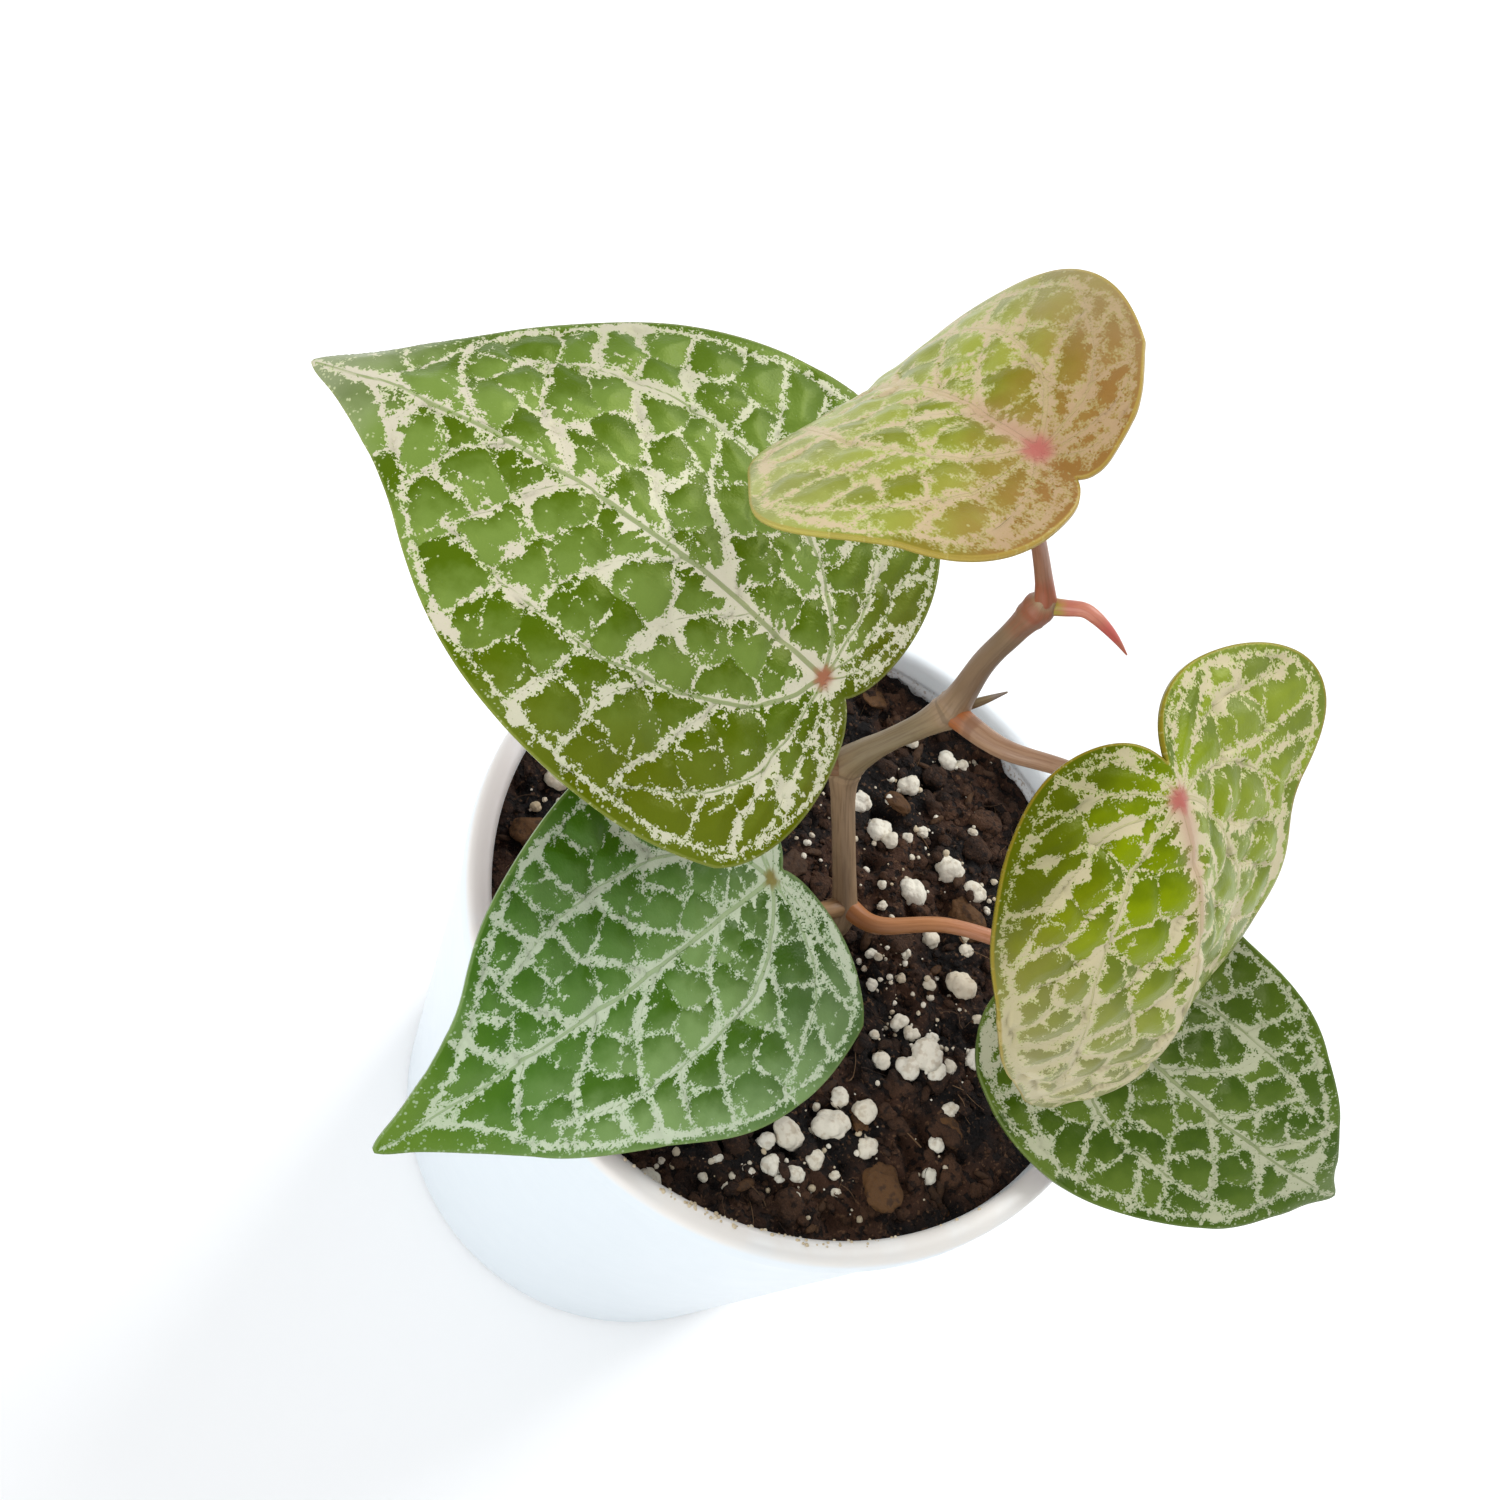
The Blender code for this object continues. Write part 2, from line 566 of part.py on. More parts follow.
def build_blade(blade, finish):
    """One leaf blade of even thickness."""
    vertices, triangles = blade_surface(blade)
    shape = bmesh.new()
    knots = [shape.verts.new(point) for point in vertices]
    for triangle in triangles:
        shape.faces.new([knots[index] for index in triangle])
    leaf = add_object(blade.name, mesh_from(shape, blade.name), finish)
    shell = leaf.modifiers.new("thickness", "SOLIDIFY")
    shell.thickness = BLADE_THICKNESS * MM
    shell.offset = 0.0
    shell.use_even_offset = False
    leaf.data.shade_smooth()


def build_leaves():
    """The five blades, each in its own green."""
    greens = {
        "leaf_a": (0.09, 0.20, 0.03),
        "leaf_b": (0.06, 0.17, 0.04),
        "leaf_c": (0.30, 0.34, 0.10),
        "leaf_d": (0.20, 0.26, 0.04),
        "leaf_e": (0.05, 0.13, 0.03),
    }
    for blade in BLADES:
        build_blade(blade, material(f"{blade.name}_green", greens[blade.name], 0.45))


def build_part():
    """Model the whole potted plant."""
    clear_scene()
    build_pot()
    build_soil()
    build_stems()
    build_leaves()


build_part()
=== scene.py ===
"""Photograph scene of a young ornamental pepper vine in a white nursery pot.

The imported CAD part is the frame. Each of its pieces is replaced by a finer one of the same form,
which adds what CAD leaves out: the silver net on the leaves, their pillowed cells, the ridged
bark, the crumbs of the soil. Shapes are worked out in millimetres, and become metres when
each piece is settled in the frame.
"""

from __future__ import annotations

import logging
import math
import random
from collections.abc import Sequence
from dataclasses import dataclass, field
from enum import Enum

import bpy
import numpy as np
from mathutils import Matrix, Vector, noise
from numpy.linalg import norm

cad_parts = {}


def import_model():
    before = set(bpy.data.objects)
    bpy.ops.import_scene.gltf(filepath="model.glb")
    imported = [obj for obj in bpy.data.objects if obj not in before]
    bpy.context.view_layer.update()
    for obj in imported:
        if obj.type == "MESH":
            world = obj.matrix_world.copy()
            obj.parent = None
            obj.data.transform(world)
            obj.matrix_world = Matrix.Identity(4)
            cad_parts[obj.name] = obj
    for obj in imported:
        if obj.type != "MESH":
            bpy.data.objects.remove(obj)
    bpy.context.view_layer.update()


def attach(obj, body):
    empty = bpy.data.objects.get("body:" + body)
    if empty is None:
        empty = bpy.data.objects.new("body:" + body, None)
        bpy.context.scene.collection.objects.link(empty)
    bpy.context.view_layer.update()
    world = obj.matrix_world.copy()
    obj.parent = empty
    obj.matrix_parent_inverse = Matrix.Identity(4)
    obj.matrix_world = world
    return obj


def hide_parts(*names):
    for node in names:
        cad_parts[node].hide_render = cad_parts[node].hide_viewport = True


logging.basicConfig(level=logging.INFO, format="%(message)s")
LOG = logging.getLogger("vine")

Array = np.ndarray
Material = bpy.types.Material
Mesh = bpy.types.Object
Socket = bpy.types.NodeSocket
Value = Socket | float
Colour = tuple[float, float, float, float]
Shade = Socket | Colour | str  # a colour that nodes work out, linear values or a hex value

MM = 0.001
BODY = "root"
PHOTO_SIZE = 1500  # pixels of the photograph's side
STUDIO_LIGHT = 1.3  # how much brighter than its own colour a surface comes out in the studio

# Pot and soil, as in the CAD part
RIM_RADIUS = 38.0
BASE_RADIUS = 30.0
POT_HEIGHT = 75.0
WALL = 1.4
FLOOR = 2.0
LIP_WIDTH = 2.7
LIP_HEIGHT = 3.6
LIP_OVERHANG = 0.5
MOUTH = RIM_RADIUS - LIP_WIDTH  # radius of the opening
DRAIN_HOLES = 5
DRAIN_RADIUS = 3.0
DRAIN_CIRCLE = 18.0
WALL_SLOPE = (RIM_RADIUS - LIP_OVERHANG - BASE_RADIUS) / (POT_HEIGHT - LIP_HEIGHT)
SOIL_LEVEL = 70.0
SOIL_ROUGHNESS = 0.9
SOIL_DRIFT = 9.0  # size of the lighter and darker drifts in the mix
GRAIN_COUNT = 62
CHIP_COUNT = 7
GRAIN_SEED = 11
GRAIN_RADII = (0.7, 0.8, 1.0, 1.2, 1.5, 1.9)
CLUSTERED_SHARE = 0.45
GRAIN_CLUSTERS = ((-4.0, -19.0, 6.0), (11.0, -18.0, 6.0), (11.0, 5.0, 6.0), (14.0, 0.0, 5.0))

# Perlite grains that the photograph shows: column and row of its pixels, and radius in pixels
SEEN_GRAINS = (
    (830, 1125, 17), (816, 1160, 10), (790, 1135, 16), (772, 1165, 11), (764, 1140, 10), (795, 1175, 9),
    (838, 1098, 10), (863, 1114, 14), (868, 1148, 11), (881, 1061, 9), (898, 1022, 8), (913, 1033, 8),
    (908, 1068, 13), (924, 1057, 17), (934, 1073, 10), (948, 1067, 9), (930, 1040, 7), (874, 1035, 5),
    (975, 1060, 9), (950, 1110, 8), (937, 1143, 8), (930, 1176, 8), (837, 1192, 5), (797, 1195, 5),
    (718, 1157, 6), (703, 1177, 5), (727, 1186, 4), (752, 1171, 4), (663, 1160, 4), (835, 1175, 5),
    (780, 1178, 5), (647, 1181, 15), (912, 892, 14), (951, 868, 14), (976, 893, 12), (880, 830, 13),
    (890, 840, 9), (860, 803, 11), (948, 760, 10), (963, 765, 8), (890, 777, 6), (908, 785, 11),
    (910, 740, 8), (918, 672, 8), (922, 832, 6), (908, 838, 6), (888, 803, 6), (972, 833, 5),
    (932, 938, 10), (965, 952, 7), (903, 956, 5), (873, 952, 6), (872, 984, 6), (882, 885, 5),
    (883, 905, 5), (805, 845, 4), (807, 800, 7), (988, 910, 4),
)
SEEN_CHIPS = ((880, 1190, 25), (948, 1132, 15), (875, 698, 14))

# Leaf outline and form, as in the CAD part
EDGE_ANGLES = (0, 0.7, 2.5, 7, 18.5, 35, 53, 76, 104, 133, 156, 180)
EDGE_REACH = (0.99, 0.978, 0.93, 0.857, 0.738, 0.61, 0.50, 0.407, 0.33, 0.26, 0.175, 0.08)
NOTCH_SHOULDER = 0.135
FULLNESS_ANGLES = (12, 32, 62, 100, 142)
FULLNESS_SPANS = (10, 15, 20, 24, 24)
TIP_FADE = 6.0  # degrees from the tip, and from the notch, over which a swelling fades out
NOTCH_FADE = 12.0
CUP_WIDTH = 0.4  # share of the length over which the cup's angle is reached

# Stem from its foot in the soil to its tip: x, y, z, radius
STEM_ROUTE = (
    (3.2, 3.3, 56.0, 1.1),
    (3.2, 3.3, 64.0, 1.5),
    (3.1, 3.4, 71.0, 1.5),
    (1.6, 4.2, 74.0, 1.35),
    (-1.8, 5.6, 79.0, 1.25),
    (-5.4, 7.1, 84.6, 1.3),
    (-7.1, 7.8, 88.0, 1.75),
    (-6.8, 8.2, 91.0, 1.5),
    (-5.6, 9.4, 94.0, 1.2),
    (-4.0, 11.2, 97.2, 1.3),
    (-2.9, 12.5, 100.2, 1.75),
    (-3.0, 13.1, 103.0, 1.45),
    (-3.5, 13.5, 108.5, 1.2),
    (-3.3, 14.2, 114.5, 1.2),
    (-3.1, 14.7, 118.0, 1.55),
    (-3.2, 14.7, 119.6, 1.1),
)
NODE_LOW = (-7.1, 7.8, 88.0)
NODE_MIDDLE = (-2.9, 12.5, 100.2)
STEM_TIP = (-3.2, 14.7, 119.6)
STEM_FOOT = (2.4, 3.8, 72.6)
BUD_ROUTE = (
    (-2.6, 15.0, 118.6, 0.9),
    (-1.2, 15.5, 119.4, 0.8),
    (0.2, 15.9, 120.3, 0.72),
    (1.5, 16.0, 120.4, 0.66),
    (3.2, 16.3, 119.8, 0.52),
    (4.7, 16.6, 119.0, 0.33),
    (6.2, 16.9, 118.0, 0.08),
)
SCALE_ROUTE = (
    (-2.2, 13.4, 100.6, 0.6),
    (-1.35, 14.2, 101.3, 0.5),
    (-0.5, 15.2, 102.1, 0.38),
    (0.6, 16.6, 103.1, 0.1),
)


class Slot(str, Enum):
    """Material slots of the part's record."""

    POT = "pot_plastic"
    SOIL = "potting_soil"
    STEM = "stem_brown"
    STALK = "stalk_salmon"
    BUD = "bud_pink"


@dataclass(frozen=True)
class Wash:
    """Change of colour that grows over one side of a blade: the leaf's own colour, or painted shade or sheen.
    """

    colour: str
    way: tuple  # flat direction in which it grows
    span: tuple  # where along that way it starts and is complete, in mm
    share: float  # how far it covers the green
    on_silver: float = 0.0  # and the silver
    gain: float = 0.0  # mm by which it widens the silver


@dataclass(frozen=True)
class Tint:
    """Colours of one leaf, as the camera sees them."""

    deep: str  # painted shade: colour of the cells' shaded side
    lit: str  # painted light: colour of the cells' lit side
    line_share: float  # how clearly the thin vein lines show
    washes: tuple[Wash, ...]
    silver: str
    silver_cool: str
    vein: str  # thin line along the main veins
    margin: str
    spot: str  # where the stalk meets the blade
    spot_size: float  # mm
    blush: str  # flush of colour along the midrib's lower part
    blush_share: float
    under: str
    under_vein: str
    softness: float  # width of the silver's edge, in mm
    silver_gain: float  # how much wider than usual the silver is, in mm
    gloss: str  # colour of the skin's shine
    margin_share: float = 0.4


@dataclass(frozen=True)
class BladeForm:
    """One leaf blade, bent from a flat heart shape, as in the CAD part.

    Lengths are in millimetres and angles in radians. Left and right are as seen from above with
    the tip ahead. Pairs hold a left and a right value, or a value at the junction and its change.
    """

    name: str
    junction: tuple
    forward: tuple
    upward: tuple
    length: float
    widths: tuple
    lobe: float
    sinus: float
    arch: tuple
    lobe_curl: float
    sweep: float
    twist: float
    fold_left: tuple
    fold_right: tuple
    cup: tuple
    full_left: tuple
    full_right: tuple
    stalk: tuple
    stalk_radius: float
    stalk_foot: tuple
    cell_area: float  # square mm of each cell between the veins
    blotch: float  # how much the silver swells into patches
    pillow: float  # mm from groove to cell top
    tint: Tint


BLADES = (
    BladeForm(
        name="leaf_a", junction=(-14.9, 0.4, 108.0), forward=(-0.87, -0.21, 0.45), upward=(0.47, -0.11, 0.87),
        length=58.0, widths=(0.99, 1.13), lobe=0.58, sinus=0.095, arch=(0.49, 0.62), lobe_curl=0.0,
        sweep=0.03, twist=0.06, fold_left=(0.02, -0.37), fold_right=(0.07, -0.46), cup=(-0.04, -0.15),
        full_left=(-0.03, 0.0, 0.01, 0.02, -0.07), full_right=(0.01, 0.01, 0.02, -0.01, 0.01),
        stalk=((-10.0, 5.2, 89.6), (-12.9, 2.8, 95.5), (-15.2, 1.2, 103.2)),
        stalk_radius=0.85, stalk_foot=NODE_LOW, cell_area=24.0, blotch=2.3, pillow=0.85,
        tint=Tint(
            deep="#506a08", lit="#7c9644", line_share=0.7,
            washes=(
                Wash("#606a00", (-0.35, 0.94), (1.0, 16.0), 0.85, 0.16),
                Wash("#625c0a", (-0.95, -0.3), (-4.0, 9.0), 0.7, 0.2),
                Wash("#b5bb9a", (1.0, 0.0), (45.0, 57.0), 0.6, 0.0, 0.12),
                Wash("#f2f4d8", (-1.0, 0.0), (-31.0, -20.0), 0.0, 0.38),
                Wash("#547016", (0.0, -1.0), (4.0, 18.0), 0.55, 0.18),
            ),
            silver="#dbd3bd", silver_cool="#d1d8a8", vein="#6f8834", margin="#a3a85a",
            spot="#ad6650", spot_size=1.4, blush="#a89a80", blush_share=0.15,
            under="#5a2430", under_vein="#a06a68", softness=0.07, silver_gain=0.0, gloss="#c8d860",
        ),
    ),
    BladeForm(
        name="leaf_b", junction=(-6.6, -7.8, 87.0), forward=(-0.21, -0.98, 0.01), upward=(0.41, -0.08, 0.91),
        length=47.8, widths=(1.02, 1.03), lobe=0.42, sinus=0.08, arch=(0.25, 0.21), lobe_curl=0.03,
        sweep=-0.04, twist=-0.12, fold_left=(0.06, -0.12), fold_right=(0.09, 0.04), cup=(0.10, -0.15),
        full_left=(-0.02, -0.07, 0.02, 0.01, 0.0), full_right=(-0.06, -0.02, 0.02, 0.0, 0.0),
        stalk=((0.7, 0.8, 73.7), (-2.6, -3.6, 77.6), (-6.2, -6.9, 83.6)),
        stalk_radius=0.85, stalk_foot=STEM_FOOT, cell_area=18.0, blotch=1.6, pillow=0.65,
        tint=Tint(
            deep="#426a04", lit="#84a460", line_share=0.6,
            washes=(
                Wash("#42740c", (0.45, -0.9), (0.0, 14.0), 0.65, 0.05),
                Wash("#6a8810", (1.0, 0.0), (32.0, 46.0), 0.6, 0.15),
                # Painted shadow that leaf A casts over this blade towards its junction.
                Wash("#2c4a18", (-1.0, 0.0), (-14.0, 2.0), 0.5),
                Wash("#9ab888", (-0.3, 0.95), (5.0, 13.0), 0.2),
            ),
            silver="#d0dcbf", silver_cool="#bad0a8", vein="#8ea968", margin="#86a056",
            spot="#8a7c38", spot_size=1.0, blush="#9db572", blush_share=0.2,
            under="#4d2430", under_vein="#8f6a68", softness=0.12, silver_gain=0.03, gloss="#eaf4e2",
        ),
    ),
    BladeForm(
        name="leaf_c", junction=(-12.6, 5.5, 143.0), forward=(-0.92, 0.30, -0.26), upward=(-0.19, 0.26, 0.95),
        length=33.4, widths=(1.14, 1.09), lobe=1.09, sinus=0.11, arch=(1.21, 0.22), lobe_curl=-1.16,
        sweep=-0.55, twist=0.08, fold_left=(-0.33, -0.29), fold_right=(0.82, -0.28), cup=(0.0, 0.0),
        full_left=(0.02, 0.10, 0.33, 0.08, -0.10), full_right=(-0.02, -0.07, 0.04, -0.10, -0.17),
        stalk=((-4.6, 14.4, 122.0), (-7.3, 12.4, 127.5), (-11.2, 7.2, 137.6)),
        stalk_radius=0.72, stalk_foot=STEM_TIP, cell_area=14.0, blotch=1.2, pillow=0.6,
        tint=Tint(
            deep="#7c8400", lit="#a2aa42", line_share=0.2,
            washes=(
                Wash("#9c6638", (-0.94, -0.33), (-9.0, 3.5), 0.85, 0.5),
                Wash("#c9c79c", (0.75, 0.66), (8.0, 26.0), 0.3),
                # Painted sheen: cells and net paler towards the right half's edge.
                Wash("#b0a07a", (0.0, -1.0), (6.0, 15.0), 0.4, 0.35),
            ),
            silver="#d6c29c", silver_cool="#ced08e", vein="#cdb88a", margin="#c2a850",
            margin_share=0.6, spot="#bd6660", spot_size=1.7, blush="#c68f80", blush_share=0.6,
            under="#8a4a40", under_vein="#b98468", softness=0.34, silver_gain=0.06, gloss="#e2e8b4",
        ),
    ),
    BladeForm(
        name="leaf_d", junction=(16.9, 5.5, 120.0), forward=(0.84, -0.32, -0.44), upward=(0.48, 0.03, 0.88),
        length=47.3, widths=(1.15, 1.11), lobe=1.05, sinus=0.07, arch=(1.10, 0.64), lobe_curl=1.25,
        sweep=-0.12, twist=-0.02, fold_left=(-0.23, -0.27), fold_right=(-0.42, 0.06), cup=(0.53, -0.07),
        full_left=(-0.10, -0.14, -0.17, 0.30, 0.02), full_right=(0.05, 0.07, 0.03, 0.0, -0.06),
        stalk=((3.2, 10.6, 103.2), (8.5, 10.1, 107.2), (15.6, 6.6, 116.2)),
        stalk_radius=0.9, stalk_foot=NODE_MIDDLE, cell_area=22.0, blotch=2.8, pillow=1.0,
        tint=Tint(
            deep="#607400", lit="#879a00", line_share=0.3,
            washes=(
                Wash("#7e7a00", (-0.2, -0.98), (6.0, 20.0), 0.75, 0.15),
                Wash("#485400", (-0.8, -0.6), (1.0, 10.0), 0.85, 0.35, -0.1),
                # Painted sheen: cells and net paler and greyer towards the tip; the wider silver there is the
                # net's own pattern.
                Wash("#969064", (0.8, -0.6), (10.0, 34.0), 0.85, 0.22, 0.5),
                Wash("#a3aa6a", (0.3, 0.95), (2.0, 13.0), 0.25, 0.0, 0.04),
            ),
            silver="#d4c8a4", silver_cool="#c8cc8e", vein="#a99a70", margin="#a58a2c",
            margin_share=0.6, spot="#b8605c", spot_size=1.6, blush="#c08c84", blush_share=0.6,
            under="#6a2630", under_vein="#a8665f", softness=0.09, silver_gain=0.04, gloss="#ccd66c",
        ),
    ),
    BladeForm(
        name="leaf_e", junction=(26.8, 7.2, 84.0), forward=(0.96, -0.28, 0.08), upward=(-0.27, -0.74, 0.62),
        length=38.3, widths=(1.09, 1.06), lobe=0.75, sinus=0.08, arch=(0.41, 0.55), lobe_curl=-0.02,
        sweep=0.10, twist=0.08, fold_left=(0.0, -0.07), fold_right=(0.31, -0.18), cup=(-0.25, 0.45),
        full_left=(0.03, 0.02, -0.06, -0.06, 0.0), full_right=(0.02, -0.03, 0.03, 0.0, 0.0),
        stalk=((6.6, 3.6, 73.9), (12.6, 7.4, 76.6), (20.5, 9.8, 78.6), (26.2, 10.2, 81.4)),
        stalk_radius=0.85, stalk_foot=STEM_FOOT, cell_area=13.5, blotch=1.8, pillow=0.65,
        tint=Tint(
            deep="#365002", lit="#5a7024", line_share=0.6,
            washes=(
                Wash("#4a5f08", (0.0, 1.0), (5.0, 20.0), 0.85, 0.1),
                Wash("#4c6a28", (1.0, 0.0), (10.0, 36.0), 0.3),
            ),
            silver="#b6b89a", silver_cool="#a6b08a", vein="#7d8c50", margin="#7a8c50",
            spot="#74702e", spot_size=1.0, blush="#8a9a5c", blush_share=0.2,
            under="#4a2430", under_vein="#8a6664", softness=0.13, silver_gain=0.03, gloss="#e2e8b4",
        ),
    ),
)

# Veins of one half blade, as (angle from the tip in degrees, share of the way to the edge)
INNER_LATERAL = ((58, 0.16), (50, 0.34), (38.5, 0.52), (29.6, 0.66), (20.2, 0.80), (13, 0.885))
OUTER_LATERAL = ((92, 0.28), (84, 0.5), (75, 0.68), (66, 0.8), (59, 0.9))
LOBE_FRONT = ((124, 0.3), (117, 0.52), (109, 0.72), (102, 0.88))
LOBE_BACK = ((156, 0.3), (149, 0.52), (141, 0.72), (133, 0.86))
MARGIN_INSET = 0.95  # mm from the edge to the looping vein along it
MIDRIB_STATIONS = (0.18, 0.34, 0.50, 0.66, 0.80)
LATERAL_STATIONS = (0.25, 0.45, 0.64, 0.82)

SHEEN_SIDE = (0.62, -0.66, -0.43)  # side on which each cell is painted paler, a painted sheen

SHEET_STEP = 0.23  # mm between the points of a leaf's mesh
LEAF_THICKNESS = 0.5
STALK_SEAT = 1.0  # mm from a blade's middle down to the middle of its stalk's round end


def linear(code: str) -> Colour:
    """Linear colour, with full alpha, of an sRGB hex value such as #8fa672."""
    levels = [int(code[start:start + 2], 16) / 255 for start in (1, 3, 5)]
    return (*[x / 12.92 if x <= 0.04045 else ((x + 0.055) / 1.055) ** 2.4 for x in levels], 1.0)


def under_studio_light(code: str) -> Colour:
    """Linear colour of a surface that the camera sees as a hex value under the studio's light."""
    return (*[level / STUDIO_LIGHT for level in linear(code)[:3]], 1.0)


class Step(Enum):
    """Node of each step in a finish: its type, the sockets filled in turn, its output and its settings."""

    PLACE = ("TexCoord", (), "Object", {})
    FIELD = ("Attribute", (), "Fac", {})
    PARTS = ("SeparateXYZ", (0,), "X", {})
    ENLARGE = ("VectorMath", (0, "Scale"), 0, {"operation": "SCALE"})
    STRETCH = ("VectorMath", (0, 1), 0, {"operation": "MULTIPLY"})
    ALONG = ("VectorMath", (0, 1), "Value", {"operation": "DOT_PRODUCT"})
    LENGTH = ("VectorMath", (0,), "Value", {"operation": "LENGTH"})
    NOISE = ("TexNoise", ("Vector", "Scale", "Detail"), "Fac", {})
    SPECKS = ("TexVoronoi", ("Vector", "Scale"), "Distance", {})
    ADD = ("Math", (0, 1), 0, {"operation": "ADD"})
    LESS = ("Math", (0, 1), 0, {"operation": "SUBTRACT"})
    TIMES = ("Math", (0, 1), 0, {"operation": "MULTIPLY"})
    PLUS = ("Math", (0, 1, 2), 0, {"operation": "MULTIPLY_ADD"})  # a value, the share of it, the base
    LARGER = ("Math", (0, 1), 0, {"operation": "MAXIMUM"})
    SIZE = ("Math", (0,), 0, {"operation": "ABSOLUTE"})
    RAMP = ("MapRange", (0, 1, 2, 3, 4), 0, {"interpolation_type": "SMOOTHSTEP"})
    BLEND = ("Mix", (0, 6, 7), 2, {"data_type": "RGBA"})
    BUMP = ("Bump", ("Height", "Distance"), 0, {})


class Dresser:
    """One material in the making."""

    def __init__(self, name: str) -> None:
        """Start a material with a bare shader.

        Args:
            name: the material's name.
        """
        self.material = bpy.data.materials.new(name)
        self.material.use_nodes = True
        self.tree = self.material.node_tree
        self.shader = self.tree.nodes["Principled BSDF"]

    def fill(self, socket: Socket, value: Value | Shade) -> None:
        """Link a node's output to a socket, or set the socket's value.

        Args:
            socket: the socket.
            value: an output, a number or a colour; a hex value is the colour that the camera sees.
        """
        if isinstance(value, Socket):
            self.tree.links.new(value, socket)
        else:
            socket.default_value = under_studio_light(value) if isinstance(value, str) else value

    def add(self, step: Step, *values: Value | Shade, out: str | None = None, **settings: object) -> Socket:
        """Add one node with its settings and links.

        Args:
            step: what the node does.
            values: what fills its sockets, in their turn.
            out: the output that is wanted, if not the step's usual one.
            settings: further options of the node.

        Returns:
            The output.
        """
        kind, sockets, usual, fixed = step.value
        node = self.tree.nodes.new("ShaderNode" + kind)
        for option, value in {**fixed, **settings}.items():
            setattr(node, option, value)
        for socket, value in zip(sockets, values):
            self.fill(node.inputs[socket], value)
        return node.outputs[out or usual]

    def finish(self, colour: Shade, roughness: Value, normal: Socket, **fixed: object) -> Material:
        """Fill the shader's sockets.

        Args:
            colour: of the skin.
            roughness: from 0 for a mirror to 1 for chalk.
            normal: the surface's direction, bent by fine relief.
            fixed: values of further sockets, whose names take underscores for spaces.

        Returns:
            The material.
        """
        wanted = {"Base Color": colour, "Roughness": roughness, "Normal": normal}
        wanted.update({name.replace("_", " "): value for name, value in fixed.items()})
        for socket, value in wanted.items():
            self.fill(self.shader.inputs[socket], value)
        return self.material


